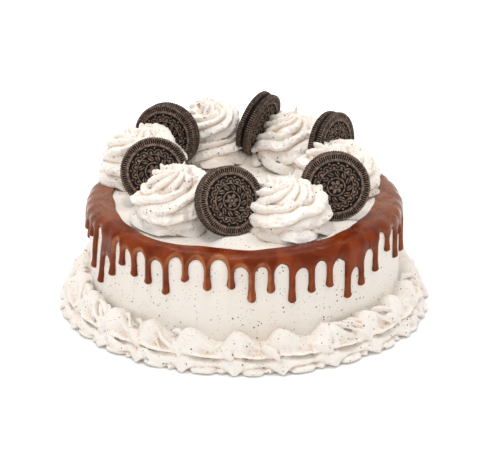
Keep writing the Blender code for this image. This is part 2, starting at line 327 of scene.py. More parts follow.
def store_creases(mesh: Mesh, edge: float) -> None:
    """Give a cream mesh its crease values, small folds and wide valleys together, by which its material
    paints shade into the creases.

    In a crease the mean place of the neighbours within some rounds lies outside the skin, so its
    distance along the normal measures the crease. Means spread like heat, as far as the root of
    their rounds times the edge.

    Args:
        mesh: The mesh.
        edge: Length of its edges.
    """
    points, normals, edges = mesh_arrays(mesh)
    total = np.zeros(len(points))
    for reach, depth, weight in CREASES:
        mean = neighbour_mean(points, edges, round((reach * MM / edge) ** 2))
        inset = np.sum((mean - points) * normals, axis=1)
        total += weight * np.clip(inset / (depth * MM), 0.0, 1.0)
    store_values(mesh, "crease", np.clip(total - CREASE_START, 0.0, 1.0))


def keep_largest_body(mesh: Mesh) -> None:
    """Remove all but the largest connected body of a mesh.

    Every point takes the lowest index among its neighbours, again and again, with each index
    looked up in the table itself, until all the points of a body share one index.

    Args:
        mesh: The mesh.
    """
    edges = mesh_arrays(mesh)[2]
    label = np.arange(len(mesh.vertices))
    settled = False
    while not settled:
        lowest = label.copy()
        np.minimum.at(lowest, edges[:, 0], label[edges[:, 1]])
        np.minimum.at(lowest, edges[:, 1], label[edges[:, 0]])
        lowest = lowest[lowest]
        settled = np.array_equal(lowest, label)
        label = lowest
    scraps = np.nonzero(label != np.argmax(np.bincount(label)))[0]
    if len(scraps) == 0:
        return
    work = bmesh.new()
    work.from_mesh(mesh)
    work.verts.ensure_lookup_table()
    bmesh.ops.delete(work, geom=[work.verts[i] for i in scraps], context="VERTS")
    work.to_mesh(mesh)
    work.free()


def shown(name: str, data: bpy.types.ID) -> Object:
    """A new object in the scene with the data given."""
    made = bpy.data.objects.new(name, data)
    bpy.context.scene.collection.objects.link(made)
    return made


def modified(mesh: Mesh, kind: str, **settings: object) -> Mesh:
    """The mesh that a modifier makes of a mesh, in whose place it comes.

    Args:
        mesh: The mesh, which is removed.
        kind: The modifier's kind.
        **settings: The modifier's settings.

    Returns:
        The new mesh.
    """
    carrier = shown("carrier", mesh)
    modifier = carrier.modifiers.new("modifier", kind)
    for key, value in settings.items():
        setattr(modifier, key, value)
    bpy.context.view_layer.update()
    graph = bpy.context.evaluated_depsgraph_get()
    result = bpy.data.meshes.new_from_object(carrier.evaluated_get(graph))
    bpy.data.objects.remove(carrier)
    bpy.data.meshes.remove(mesh)
    return result


def cream_skin(surface: Surface, name: str, voxel: float, triangles: int) -> Mesh:
    """One skin over bodies of cream that overlap, with its creases stored.

    Args:
        surface: The bodies.
        name: Name of the mesh.
        voxel: Edge length of the skin's quads before it is thinned out.
        triangles: Number of triangles that it is thinned out to.

    Returns:
        The skin, without hollows inside.
    """
    skin = modified(surface.mesh(name), "REMESH", mode="VOXEL", voxel_size=voxel)
    keep_largest_body(skin)
    store_creases(skin, voxel)
    share = triangles / (2.0 * len(skin.polygons))
    return modified(skin, "DECIMATE", ratio=share) if share < 1.0 else skin


def add_piece(
    name: str,
    mesh: Mesh,
    material: Material,
    replaced: tuple[str, ...],
    sharp_angle: float | None = None,
) -> Object:
    """Put a mesh into the scene as a piece that rides on the cake.

    Args:
        name: Name of the piece.
        mesh: Its mesh, in the frame of the model.
        material: Its material.
        replaced: Names of the solids that it stands for.
        sharp_angle: Angle in radians past which an edge is shaded sharp, or None for a soft skin.

    Returns:
        The new object.
    """
    mesh.materials.clear()
    mesh.materials.append(material)
    mesh.shade_smooth()
    if sharp_angle is not None:
        mesh.set_sharp_from_angle(angle=sharp_angle)
    piece = shown(name, mesh)
    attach(piece, BODY)
    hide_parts(*replaced)
    log.info("%s: %d points, %d faces", name, len(mesh.vertices), len(mesh.polygons))
    return piece


@dataclass(frozen=True)
class Crumbs:
    """Crumbs of one kind in the cream, scattered over cells of space.

    Strength is how much of their colour shows, cell the distance between the cells' middles,
    radius that of the largest crumb, share that of the cells that hold one, and ragged how far
    noise moves their edge.
    """

    colour: Colour
    strength: float
    cell: float
    radius: float
    share: float
    ragged: float


class Graph:
    """The node tree of one new material, with short ways to add nodes to it."""

    def __init__(self, name: str) -> None:
        """Start a material with a Principled shader."""
        self.material = bpy.data.materials.new(name)
        self.material.use_nodes = True
        self.tree = self.material.node_tree
        self.shader = next(node for node in self.tree.nodes if node.type == "BSDF_PRINCIPLED")
        self.place = self.tree.nodes.new("ShaderNodeTexCoord").outputs["Object"]

    def add(self, kind: str, inputs: dict[str | int, object], **settings: object) -> Node:
        """Add a node.

        Args:
            kind: The node's kind.
            inputs: Values of its inputs, or outputs to link them to.
            **settings: Its properties.

        Returns:
            The node.
        """
        node = self.tree.nodes.new(kind)
        for key, value in settings.items():
            setattr(node, key, value)
        for key, value in inputs.items():
            self.fill(node.inputs[key], value)
        return node

    def fill(self, socket: NodeSocket, value: object) -> None:
        """Link a socket to an output, or set its value.

        Args:
            socket: The input.
            value: An output to link it to, or its value.
        """
        if isinstance(value, NodeSocket):
            self.tree.links.new(value, socket)
        else:
            socket.default_value = value

    def attribute(self, name: str) -> NodeSocket:
        """The value that a mesh stores under a name."""
        return self.add("ShaderNodeAttribute", {}, attribute_name=name).outputs["Fac"]

    def noise(self, size: float, detail: float = 2.0, distortion: float = 0.0) -> NodeSocket:
        """Noise whose features are about size metres."""
        inputs = {"Vector": self.place, "Scale": 1.0 / size, "Detail": detail, "Distortion": distortion}
        return self.add("ShaderNodeTexNoise", inputs).outputs["Fac"]

    def maths(
        self, operation: str, first: NodeSocket, second: NodeSocket | float, clamp: bool = False
    ) -> NodeSocket:
        """One operation on two numbers."""
        node = self.add("ShaderNodeMath", {0: first, 1: second}, operation=operation, use_clamp=clamp)
        return node.outputs[0]

    def ramp(
        self, value: NodeSocket, low: float, high: float, start: float = 0.0, end: float = 1.0
    ) -> NodeSocket:
        """Smooth ramp of value from start at low to end at high."""
        inputs = {"Value": value, "From Min": low, "From Max": high, "To Min": start, "To Max": end}
        return self.add("ShaderNodeMapRange", inputs, interpolation_type="SMOOTHSTEP").outputs["Result"]

    def mix(self, factor: NodeSocket, first: NodeSocket | Colour, second: NodeSocket | Colour) -> NodeSocket:
        """Mix of two colours.

        Args:
            factor: Share of the second one.
            first: A colour or an output.
            second: A colour or an output.

        Returns:
            The mix.
        """
        node = self.add("ShaderNodeMix", {"Factor": factor}, data_type="RGBA")
        colour_inputs = [socket for socket in node.inputs if socket.type == "RGBA"]
        for socket, colour in zip(colour_inputs, (first, second)):
            self.fill(socket, colour if isinstance(colour, NodeSocket) else (*colour, 1.0))
        return next(socket for socket in node.outputs if socket.type == "RGBA")

    def crumbs(self, kind: Crumbs) -> NodeSocket:
        """Where crumbs of a kind show.

        A crumb is a ball round the middle of a cell, moved by noise to make it ragged. Both
        whether a cell holds one and how large it is come from the cell's random colour.

        Args:
            kind: The kind of crumbs.

        Returns:
            The mask, 1 inside a crumb.
        """
        shift = self.add("ShaderNodeTexNoise", {"Vector": self.place, "Scale": 0.9 / kind.radius})
        middle = self.add(
            "ShaderNodeVectorMath", {0: shift.outputs["Color"], 1: (0.5, 0.5, 0.5)}, operation="SUBTRACT"
        )
        moved = self.add(
            "ShaderNodeVectorMath",
            {0: middle.outputs[0], 1: (2.0 * kind.ragged,) * 3, 2: self.place},
            operation="MULTIPLY_ADD",
        )
        cells = self.add("ShaderNodeTexVoronoi", {"Vector": moved.outputs[0], "Scale": 1.0 / kind.cell})
        parts = self.add("ShaderNodeSeparateColor", {0: cells.outputs["Color"]}).outputs
        present = self.maths("LESS_THAN", parts[0], kind.share)
        uneven = self.maths("POWER", parts[1], 2.0)
        size = self.maths("MULTIPLY", self.ramp(uneven, 0.0, 1.0, 0.3, 1.0), kind.radius / kind.cell)
        edge = self.maths("DIVIDE", cells.outputs["Distance"], size)
        return self.maths("MULTIPLY", self.ramp(edge, 0.75, 1.05, 1.0, 0.0), present)

    def bump(
        self, height: NodeSocket, strength: float, distance: float, normal: NodeSocket | None = None
    ) -> NodeSocket:
        """Normal bent by a height.

        Args:
            height: The height, from 0 to 1.
            strength: How much of it shows.
            distance: How high 1 is, in metres.
            normal: Normal to bend, or None for that of the mesh.

        Returns:
            The bent normal.
        """
        inputs = {"Height": height, "Strength": strength, "Distance": distance}
        if normal is not None:
            inputs["Normal"] = normal
        return self.add("ShaderNodeBump", inputs).outputs["Normal"]

    def dressed(self, inputs: dict[str, object]) -> Material:
        """Link or set the named inputs of the shader, and give the finished material."""
        for key, value in inputs.items():
            self.fill(self.shader.inputs[key], value)
        return self.material


@dataclass(frozen=True)
class CreamFinish:
    """Whipped cream with ground cookie in it: warm white and specked, with painted shade, tan, where it is
    folded.
    """

    name: str
    colour: Colour
    warm: Colour = (0.84, 0.745, 0.65)
    # Tan of the painted shade in the creases
    fold: Colour = (0.62, 0.41, 0.25)
    crumbs: tuple[Crumbs, ...] = (
        Crumbs((0.34, 0.20, 0.125), 0.72, cell=1.45 * MM, radius=0.40 * MM, share=0.66, ragged=0.2 * MM),
        Crumbs((0.075, 0.042, 0.030), 0.88, cell=2.6 * MM, radius=0.66 * MM, share=0.62, ragged=0.32 * MM),
    )
    # Whether the creases get painted shade
    folded: bool = True
    warm_share: float = 0.35
    patch_size: float = 28.0 * MM
    streak_size: float = 7.0 * MM
    pore_size: float = 0.9 * MM
    smear_size: float = 4.5 * MM
    pore_depth: float = 0.05 * MM
    smear_depth: float = 0.15 * MM
    specular: float = 0.35
    glow: float = 0.25
    glow_reach: float = 2.0 * MM
    glow_tint: Colour = (1.0, 0.72, 0.5)

    def material(self) -> Material:
        """Mottled colour with painted shade in the creases and crumbs over it, and a skin with pores and
        smears.

        Returns:
            The material.
        """
        graph = Graph(self.name)
        patches = graph.ramp(graph.noise(self.patch_size, 3.0), 0.35, 0.72)
        base = graph.mix(graph.maths("MULTIPLY", patches, self.warm_share), self.colour, self.warm)
        # Painted shade: tan mixed in by the depth of the creases, broken up by noise
        if self.folded:
            depth = graph.attribute("crease")
            streak = graph.ramp(graph.noise(self.streak_size), 0.3, 0.75, 0.45, 1.0)
            base = graph.mix(graph.maths("MULTIPLY", depth, streak, clamp=True), base, self.fold)
        for kind in self.crumbs:
            mask = graph.maths("MULTIPLY", graph.crumbs(kind), kind.strength)
            base = graph.mix(mask, base, kind.colour)
        pores = graph.noise(self.pore_size, 3.0)
        smears = graph.noise(self.smear_size, 2.0, 0.6)
        normal = graph.bump(pores, 0.35, self.pore_depth)
        normal = graph.bump(smears, 0.4, self.smear_depth, normal)
        return graph.dressed({
            "Base Color": base,
            "Normal": normal,
            "Roughness": graph.ramp(pores, 0.3, 0.7, 0.46, 0.62),
            "Specular IOR Level": self.specular,
            "Subsurface Weight": self.glow,
            "Subsurface Radius": self.glow_tint,
            "Subsurface Scale": self.glow_reach,
        })


@dataclass(frozen=True)
class GlazeFinish:
    """Poured milk chocolate glaze: red brown and glossy, paler where it thins out at an edge, with painted
    shade that makes that edge less pale at the right, and a painted sheen on the far shoulders.
    """

    name: str = "poured_chocolate"
    deep: Colour = (0.130, 0.0155, 0.0012)
    brown: Colour = (0.225, 0.038, 0.0060)
    # Pale brown of the thin edge, whose fading on the right sides is painted shade
    edge: Colour = (0.375, 0.140, 0.057)
    # Lighter greyer brown of the painted sheen on the far shoulders
    painted_sheen: Colour = (0.31, 0.155, 0.088)
    gloss: Colour = (1.0, 0.5, 0.3)
    flow_size: float = 16.0 * MM
    streak_size: float = 3.4 * MM
    mottle_size: float = 7.0 * MM
    bubble_size: float = 1.3 * MM
    wave_size: float = 6.0 * MM
    bubble_height: float = 0.28 * MM
    wave_height: float = 0.3 * MM
    specular: float = 0.08
    coat: float = 0.22
    coat_roughness: float = 0.07

    def material(self) -> Material:
        """Two browns in flows, the pale edge and the painted sheen of the far shoulders over them, and fine
        bubbles.

        Returns:
            The material.
        """
        graph = Graph(self.name)
        flow = graph.ramp(graph.noise(self.flow_size, 3.0, 0.8), 0.38, 0.68)
        base = graph.mix(flow, self.deep, self.brown)
        # Painted sheen: the far shoulders take a lighter greyer brown in streaks, in place of their
        # reflection
        streaks = graph.ramp(graph.noise(self.streak_size, 3.0, 1.2), 0.3, 0.7, 0.35, 1.0)
        base = graph.mix(graph.maths("MULTIPLY", graph.attribute("painted_sheen"), streaks), base, self.painted_sheen)
        # The pale thin edge, carrying painted shade on the right sides
        thin = graph.ramp(graph.attribute("thin"), 0.0, 1.0)
        mottled = graph.ramp(graph.noise(self.mottle_size), 0.3, 0.6, 0.35, 1.0)
        base = graph.mix(graph.maths("MULTIPLY", thin, mottled), base, self.edge)
        bubbles = graph.noise(self.bubble_size, 3.0)
        waves = graph.noise(self.wave_size, 2.0, 0.5)
        normal = graph.bump(bubbles, 1.0, self.bubble_height)
        normal = graph.bump(waves, 0.5, self.wave_height, normal)
        return graph.dressed({
            "Base Color": base,
            "Normal": normal,
            "Roughness": graph.ramp(bubbles, 0.35, 0.7, 0.14, 0.28),
            "Coat Normal": normal,
            "Coat Weight": self.coat,
            "Coat Roughness": self.coat_roughness,
            "Specular IOR Level": self.specular,
            "Specular Tint": (*self.gloss, 1.0),
        })


@dataclass(frozen=True)
class WaferFinish:
    """Baked dark cocoa wafer: browner on what stands proud, with fine grain, and nearly black where painted
    shade fills its sunken ground and slots.
    """

    name: str = "baked_cocoa_wafer"
    # Near black of the painted shade on the sunken ground, in the slots and between the teeth
    low: Colour = (0.0045, 0.0028, 0.0021)
    dark: Colour = (0.058, 0.038, 0.029)
    high: Colour = (0.225, 0.148, 0.110)
    dust: Colour = (0.56, 0.42, 0.33)
    dust_share: float = 0.7
    grain_size: float = 0.55 * MM
    blotch_size: float = 1.9 * MM
    dent_size: float = 2.2 * MM
    grain_height: float = 0.12 * MM
    dent_depth: float = 0.15 * MM
    specular: float = 0.2

    def material(self) -> Material:
        """Painted shade, nearly black, on the sunken ground and in the slots, browner relief, and dust on
        the worn grains.

        Returns:
            The material.
        """
        graph = Graph(self.name)
        relief = graph.attribute("relief")
        grain = graph.noise(self.grain_size, 4.0)
        baked = graph.mix(graph.ramp(graph.noise(self.blotch_size, 4.0), 0.36, 0.66), self.dark, self.high)
        # Painted shade: where the relief is low the wafer goes nearly black
        base = graph.mix(graph.ramp(relief, 0.3, 0.95), self.low, baked)
        worn = graph.maths("MULTIPLY", graph.ramp(grain, 0.5, 0.8), relief)
        base = graph.mix(graph.maths("MULTIPLY", worn, self.dust_share), base, self.dust)
        normal = graph.bump(grain, 0.8, self.grain_height)
        normal = graph.bump(graph.noise(self.dent_size, 3.0), 0.5, self.dent_depth, normal)
        return graph.dressed({
            "Base Color": base,
            "Normal": normal,
            "Roughness": graph.ramp(grain, 0.3, 0.7, 0.5, 0.72),
            "Specular IOR Level": self.specular,
        })


@dataclass(frozen=True)
class FillingFinish:
    """Crumbly filling between the wafers, near black as painted shade of the groove between them."""

    name: str = "cookie_filling_painted_shade"
    # Near black of the painted shade in the groove between the wafers
    dark: Colour = (0.006, 0.004, 0.0035)
    pale: Colour = (0.018, 0.012, 0.009)
    grain_size: float = 0.8 * MM
    grain_height: float = 0.2 * MM
    specular: float = 0.1

    def material(self) -> Material:
        """Two near-black tones of painted shade in coarse grain.

        Returns:
            The material.
        """
        graph = Graph(self.name)
        grain = graph.noise(self.grain_size, 4.0)
        return graph.dressed({
            "Base Color": graph.mix(graph.ramp(grain, 0.4, 0.75), self.dark, self.pale),
            "Normal": graph.bump(grain, 0.9, 0.2 * MM),
            "Roughness": graph.ramp(grain, 0.3, 0.7, 0.65, 0.85),
            "Specular IOR Level": self.specular,
        })


@dataclass
class CakeBody:
    """The frosted cake: a turned profile whose skin is uneven, as a spatula leaves it."""

    columns: int = 480
    top_rows: int = 90
    shoulder_rows: int = 10
    wall_rows: int = 42
    foot_radius: float = 1.5 * MM
    hollow: float = 0.28 * MM
    broad_wave: float = 42.0 * MM
    fine_wave: float = 13.0 * MM
    # Waves are this much shorter upwards than round the cake
    wave_squash: float = 1.7

    def profile(self) -> tuple[Array, Array, Array]:
        """The section of the cake, from the middle of the top to that of the foot.

        Returns:
            Radius, height and the angle of the skin's normal above the horizon.
        """
        quarter = math.pi / 2
        top = np.linspace(0.0, TOP_FLAT_RADIUS, self.top_rows)
        turn = np.linspace(quarter, 0.0, self.shoulder_rows)[1:]
        wall = np.linspace(WALL_TOP, self.foot_radius, self.wall_rows)[1:]
        foot = [CAKE_RADIUS - self.foot_radius, 0.0]
        level, upright = np.ones(len(top)), np.ones(len(wall))
        shoulder_out = TOP_FLAT_RADIUS + SHOULDER_RADIUS * np.cos(turn)
        shoulder_up = WALL_TOP + SHOULDER_RADIUS * np.sin(turn)
        radius = np.concatenate([top, shoulder_out, CAKE_RADIUS * upright, foot])
        height = np.concatenate([CAKE_HEIGHT * level, shoulder_up, wall, [0.0, 0.0]])
        slope = np.concatenate([quarter * level, turn, 0.0 * upright, [-quarter, -quarter]])
        return radius, height, slope

    def surface(self) -> Surface:
        """The turned skin, moved along its normal by two sizes of noise, inwards on the whole.

        Returns:
            The skin, with the frosting pressed up under the cookies.
        """
        radius, height, slope = self.profile()
        bearing = np.arange(self.columns) / self.columns * TAU
        outward = outward_at(bearing)[None, :, :]
        points = radius[:, None, None] * outward
        points[..., 2] += height[:, None]
        normal = np.cos(slope)[:, None, None] * outward
        normal[..., 2] += np.sin(slope)[:, None]
        smears = points * np.array([1.0, 1.0, self.wave_squash])
        waves = 0.7 * sine_noise(smears, self.broad_wave, 3) + 0.3 * sine_noise(smears, self.fine_wave, 4)
        lift = self.hollow * (np.clip(waves, -1.0, 1.0) - 1.0)
        above_foot = smoothstep(height, 2.0 * MM, 8.0 * MM)
        points = points + normal * (lift * above_foot[:, None])[..., None]
        on_top = smoothstep(slope, 1.2, 1.5)[:, None]
        for cookie in sandwich_cookies():
            points[..., 2] += cookie.pressed_up(points) * on_top
        return Surface.of_rings(points)

    def build(self, finish: CreamFinish) -> Object:
        """Make the piece that stands for the cake's solid."""
        mesh = self.surface().mesh("frosted_body")
        return add_piece("frosted_body", mesh, finish.material(), ("cake_body",))


# Drips at the front: bearing in degrees, height of the tip, and height of the arch that follows,
# in millimetres
FRONT_DRIPS = (
    (-79.5, 57, 66), (-72.6, 57, 66), (-67.8, 36, 70), (-60.8, 30, 54), (-53.9, 42, 68.5), (-48.8, 53, 66),
    (-42.8, 49, 67.5), (-36.2, 47, 65), (-28.8, 43, 70), (-21.2, 54, 70.5), (-13.1, 50, 72),
    (-4.7, 52, 67), (2.5, 43, 66.8), (9.3, 49, 68.3), (16.9, 41, 63.7), (24.2, 46, 66.3),
    (31.4, 47, 64.8), (39.5, 36, 55.3), (46.1, 41, 63.3), (54.1, 46, 70.5), (62.7, 54, 67),
    (70.8, 44, 65), (76.8, 56, 66),
)
# Inner edge of the glaze: bearing in degrees and radius in millimetres
GLAZE_INNER_EDGE = (
    (-120, 87.0), (-83, 85.1), (-62, 87.4), (-48, 90.9), (-37, 93.6), (-28, 91.5), (-13, 87.9), (1, 91.4),
    (10, 89.8), (25, 88.9), (36, 87.4), (45, 86.8), (59, 83.9), (71, 84.0), (100, 87.0), (150, 89.5),
    (195, 86.5),
)


@dataclass
class Drip:
    """Measures of one drip and of the half arches on both sides of it.

    A pair holds the side of the lower bearing first. The root of a drip is where an arch ends.
    """

    bearing: float
    half_pitch: Array
    arch_path: Array
    arch_half: Array
    arch_deep: Array
    root: Array
    bulb_path: float


@dataclass
class ChocolateGlaze:
    """The glaze on the edge of the cake and its drips, one cell of the skin for each drip.

    A place on the glaze has a bearing and a path: the length from the inner edge on the top, out
    over the shoulder and down the wall. Between two drips the lower edge is an arch, a half
    ellipse, and each drip ends in a round bulb.
    """

    thickness: float = 1.5 * MM
    drip_thickness: float = 2.25 * MM
    bulb_thickness: float = 2.8 * MM
    thickening: float = 6.0 * MM
    # Height of the ridge above each drip, and height and size of the waves
    ridge: float = 0.35 * MM
    wave: float = 0.16 * MM
    wave_size: float = 17.0 * MM
    neck: float = 2.05 * MM
    bulb: float = 2.7 * MM
    arch_depth: float = 1.25
    edge_round: float = 2.1 * MM
    inner_round: float = 1.6 * MM
    hidden_depth: float = 0.8 * MM
    # The pale edge, where the glaze is thin, and how much less pale it is at the right, at the far left and
    # on a drip's right. Less pale at the right and on a drip's right is painted shade, and the left sides
    # stand as lit. The bearings, those at the left taken positive, are where that begins, is full and ends.
    pale_edge: float = 2.7 * MM
    pale_flank: float = 2.6 * MM
    pale_blur: float = 1.1 * MM
    painted_shade_at_right: float = 0.75
    right_bearings: tuple[float, float, float] = (5.0, 15.0, 110.0)
    less_at_far_left: float = 0.6
    left_bearings: tuple[float, float, float] = (58.0, 66.0, 110.0)
    painted_shade_on_drip_right: float = 0.75
    # Full strength of the painted sheen, a lighter greyer brown that stands in for the reflection on the far
    # shoulders, and the bearings where it begins and is full
    painted_sheen_strength: float = 0.65
    painted_sheen_bearings: tuple[float, float] = (52.0, 84.0)
    # Degrees per millimetre that the drips at the far left run aside, and the bearings to the left
    # of the front where that begins, is full and ends
    slant: float = 0.14
    slant_bearings: tuple[float, float, float] = (44.0, 64.0, 100.0)
    pitch: float = 7.2
    pitch_shift: float = 0.14
    tip_range: tuple[float, float] = (36.0, 56.0)
    arch_range: tuple[float, float] = (63.0, 69.0)
    upper_rows: int = 19
    arch_rows: int = 9
    neck_rows: int = 11
    tip_rows: int = 7
    columns: int = 20

    def drips(self) -> tuple[Array, Array, Array]:
        """Places and heights of all drips, those behind the named ones being random.

        Returns:
            Bearings in radians, and heights of the tips and of the arches that follow in metres.
        """
        first, last = FRONT_DRIPS[-1][0], FRONT_DRIPS[0][0] + 360.0
        count = round((last - first) / self.pitch) - 1
        step = (last - first) / (count + 1)
        rng, arch_rng = random.Random(7), random.Random(9)
        rows = list(FRONT_DRIPS)
        for i in range(1, count + 1):
            bearing = first + step * (i + rng.uniform(-self.pitch_shift, self.pitch_shift))
            tip = rng.uniform(*self.tip_range)
            rows.append((bearing, tip, arch_rng.uniform(*self.arch_range)))
        bearings, tips, arches = np.array(rows).T
        return np.radians(bearings), tips * MM, arches * MM

    def inner_radius(self, bearing: Array) -> Array:
        """Radius of the inner edge at bearings in radians.

        It is the mean of the named places' line at five bearings side by side, with a ripple.

        Args:
            bearing: The bearings.

        Returns:
            The radii.
        """
        places, radii = np.array(GLAZE_INNER_EDGE).T
        degrees = (np.degrees(bearing) + 120.0) % 360.0 - 120.0
        radius = np.interp(degrees, places, radii, period=360.0)
        for shift in (-5.0, -2.5, 2.5, 5.0):
            radius = radius + np.interp(degrees + shift, places, radii, period=360.0)
        ripple = 0.45 * np.sin(11 * bearing + 1.0) + 0.3 * np.sin(23 * bearing)
        return (radius / 5.0 + ripple) * MM

    def path_of_height(self, height: Array, inner: Array) -> Array:
        """Path of a height on the wall or, above it, on the shoulder.

        Args:
            height: The heights.
            inner: Radii of the inner edge there.

        Returns:
            The paths.
        """
        shoulder_end = TOP_FLAT_RADIUS - inner + SHOULDER_LENGTH
        over = np.arcsin(np.clip((height - WALL_TOP) / (SHOULDER_RADIUS + self.thickness), 0.0, 1.0))
        return shoulder_end + np.maximum(WALL_TOP - height, 0.0) - SHOULDER_RADIUS * over

    def skin(self, bearing: Array, path: Array, lift: Array) -> Array:
        """Places over the cake's skin, which is flat, then an arc of the shoulder, then upright.

        Args:
            bearing: Bearings in radians.
            path: Paths.
            lift: Heights over the skin.

        Returns:
            The places.
        """
        inner = self.inner_radius(bearing)
        flat = TOP_FLAT_RADIUS - inner
        turn = np.clip((path - flat) / SHOULDER_RADIUS, 0.0, math.pi / 2)
        radius = inner + np.minimum(path, flat) + (SHOULDER_RADIUS + lift) * np.sin(turn)
        height = WALL_TOP + (SHOULDER_RADIUS + lift) * np.cos(turn)
        points = outward_at(bearing) * radius[..., None]
        points[..., 2] += height - np.maximum(path - flat - SHOULDER_LENGTH, 0.0)
        return points

    def drip(self, bearing: float, tip: float, tops: Array, heights: Array) -> Drip:
        """Measures of a drip from its place and those of the arches beside it.

        Args:
            bearing: Bearing of the drip.
            tip: Height of its tip.
            tops: Bearings of the tops of the two arches beside it.
            heights: Their heights.

        Returns:
            The measures.
        """
        half_pitch = np.abs(tops - bearing) * CAKE_RADIUS
        arch_path = self.path_of_height(heights, self.inner_radius(tops))
        arch_half = half_pitch - self.neck
        arch_deep = self.arch_depth * arch_half
        tip_path = self.path_of_height(np.array([tip]), self.inner_radius(np.array([bearing])))[0]
        root = arch_path + arch_deep
        return Drip(bearing, half_pitch, arch_path, arch_half, arch_deep, root, tip_path - self.bulb)

    def rows(self, drip: Drip) -> tuple[Array, Array]:
        """Paths and half widths of a cell's rows at its two sides.

        The upper rows run from the inner edge to the tops of the arches. Below them the width
        follows the arches, quarter ellipses, then the neck, which swells, and then the half circle
        of the bulb.

        Args:
            drip: The cell's drip.

        Returns:
            Paths and half widths, a pair for each row.
        """
        both = np.ones(2)
        upper = np.linspace(0.0, 1.0, self.upper_rows)[:, None] ** 1.25
        arch = np.linspace(0.0, math.pi / 2, self.arch_rows + 1)[1:, None]
        neck = np.linspace(0.0, 1.0, self.neck_rows + 1)[1:, None]
        tip = np.linspace(0.0, math.pi / 2, self.tip_rows + 1)[1:, None]
        swell = self.neck + (self.bulb - self.neck) * smoothstep(neck, 0.45, 1.0)
        path = np.concatenate([
            upper * drip.arch_path,
            drip.arch_path + drip.arch_deep * (1.0 - np.cos(arch)),
            drip.root * (1.0 - neck) + drip.bulb_path * neck,
            (drip.bulb_path + self.bulb * np.sin(tip)) * both,
        ])
        width = np.concatenate([
            drip.half_pitch * np.ones_like(upper),
            drip.half_pitch - drip.arch_half * np.sin(arch),
            swell * both,
            self.bulb * np.cos(tip) * both,
        ])
        return path, width

    def slanted(self, bearing: Array, path: Array, drip: Drip) -> Array:
        """Bearings moved aside along a drip, where the drips slant.

        Args:
            bearing: Bearings in a cell.
            path: Paths there.
            drip: The cell's drip.

        Returns:
            The new bearings.
        """
        begins, full, ends = self.slant_bearings
        left = -float(front_degrees(drip.bearing))
        share = min(max((left - begins) / (full - begins), 0.0), 1.0) if left < ends else 0.0
        rate = math.radians(self.slant * share) / MM
        return bearing - rate * np.maximum(path - float(drip.root.min()), 0.0)

    def free_edge_distance(self, path: Array, across: Array, width: Array, drip: Drip) -> Array:
        """Distance to the nearest free edge: an arch, a side of the drip or the bulb's round end.

        Args:
            path: Paths in a cell.
            across: Places across it, from -1 to 1.
            width: Half widths.
            drip: The cell's drip.

        Returns:
            The distances, none below 0.
        """
        offset = across * width
        distance = np.full(path.shape, np.inf)
        for side, sign in enumerate((-1.0, 1.0)):
            from_arch = drip.half_pitch[side] - sign * offset
            over = np.maximum(drip.root[side] - path, 0.0) / drip.arch_deep[side]
            reach = np.hypot(from_arch / drip.arch_half[side], over) - 1.0
            distance = np.minimum(distance, reach * min(drip.arch_half[side], drip.arch_deep[side]))
        in_bulb = self.bulb - np.hypot(offset, np.maximum(path - drip.bulb_path, 0.0))
        distance = np.where(path > drip.bulb_path, in_bulb, distance)
        below_root = path > np.where(across < 0.0, *drip.root)
        to_side = (1.0 - np.abs(across)) * width
        return np.maximum(np.where(below_root, np.minimum(distance, to_side), distance), 0.0)

    def pale_edge_with_painted_shade(self, bearing: Array, across: Array, down: Array, distance: Array) -> Array:
        """How pale the glaze is along its free edge, where it is thin, with painted shade that makes it less
        pale at the right and on each drip's right side.

        Args:
            bearing: Bearings in a cell.
            across: Places across it, from -1 to 1.
            down: Shares of the way from the edge of the cake to the drip's root.
            distance: Distances to the free edge.

        Returns:
            Values from 0 to 1.
        """
        degrees = np.degrees(bearing)
        right = smoothstep(degrees, *self.right_bearings[:2]) * (degrees < self.right_bearings[2])
        far_left = smoothstep(-degrees, *self.left_bearings[:2]) * (-degrees < self.left_bearings[2])
        # Painted shade: less pale at the right of the cake and on each drip's right side
        paler = (1.0 - self.painted_shade_at_right * right) * (1.0 - self.less_at_far_left * far_left)
        paler = paler * (1.0 - self.painted_shade_on_drip_right * down * smoothstep(across, -0.35, 0.25))
        band = self.pale_edge + (self.pale_flank - self.pale_edge) * down
        return np.clip((band - distance) / self.pale_blur, 0.0, 1.0) * paler

    def cell(self, drip: Drip) -> Surface:
        """The glaze between the tops of the arches on both sides of a drip.

        Args:
            drip: The drip.

        Returns:
            An outer sheet and a hidden sheet under the cake's skin, which meet at the free edges.
        """
        across = np.sin(np.linspace(-1.0, 1.0, self.columns + 1) * math.pi / 2)
        blend = 0.5 + 0.5 * across
        paths, widths = self.rows(drip)
        path = paths[:, :1] * (1.0 - blend) + paths[:, 1:] * blend
        width = np.where(across < 0.0, widths[:, :1], widths[:, 1:])
        offset = across * width
        bearing = self.slanted(drip.bearing + offset / CAKE_RADIUS, path, drip)
        distance = self.free_edge_distance(path, across, width, drip)
        edge_line = path[self.upper_rows - 1]
        down = smoothstep(path, float(edge_line.min()) - self.thickening, float(drip.root.max()))
        low = smoothstep(path, drip.bulb_path - self.thickening, drip.bulb_path)
        body = self.thickness + (self.drip_thickness - self.thickness) * down
        body = body + (self.bulb_thickness - self.drip_thickness) * low
        ridge = self.ridge * np.cos(math.pi * np.clip(offset / drip.half_pitch.mean(), -1.0, 1.0))
        ridge = ridge * smoothstep(path, 8.0 * MM, float(edge_line.mean())) * (1.0 - down)
        waves = self.wave * sine_noise(self.skin(bearing, path, np.zeros_like(path)), self.wave_size, 21)
        on_edge = round_off(distance, self.edge_round) * round_off(path, self.inner_round)
        outer = self.skin(bearing, path, (body + ridge + waves) * on_edge)
        hidden = self.skin(bearing, path, -self.hidden_depth * np.clip(4.0 * on_edge, 0.0, 1.0))
        # Paleness of the thin edge, with painted shade on the right sides
        thin = self.pale_edge_with_painted_shade(bearing, across, down, distance)
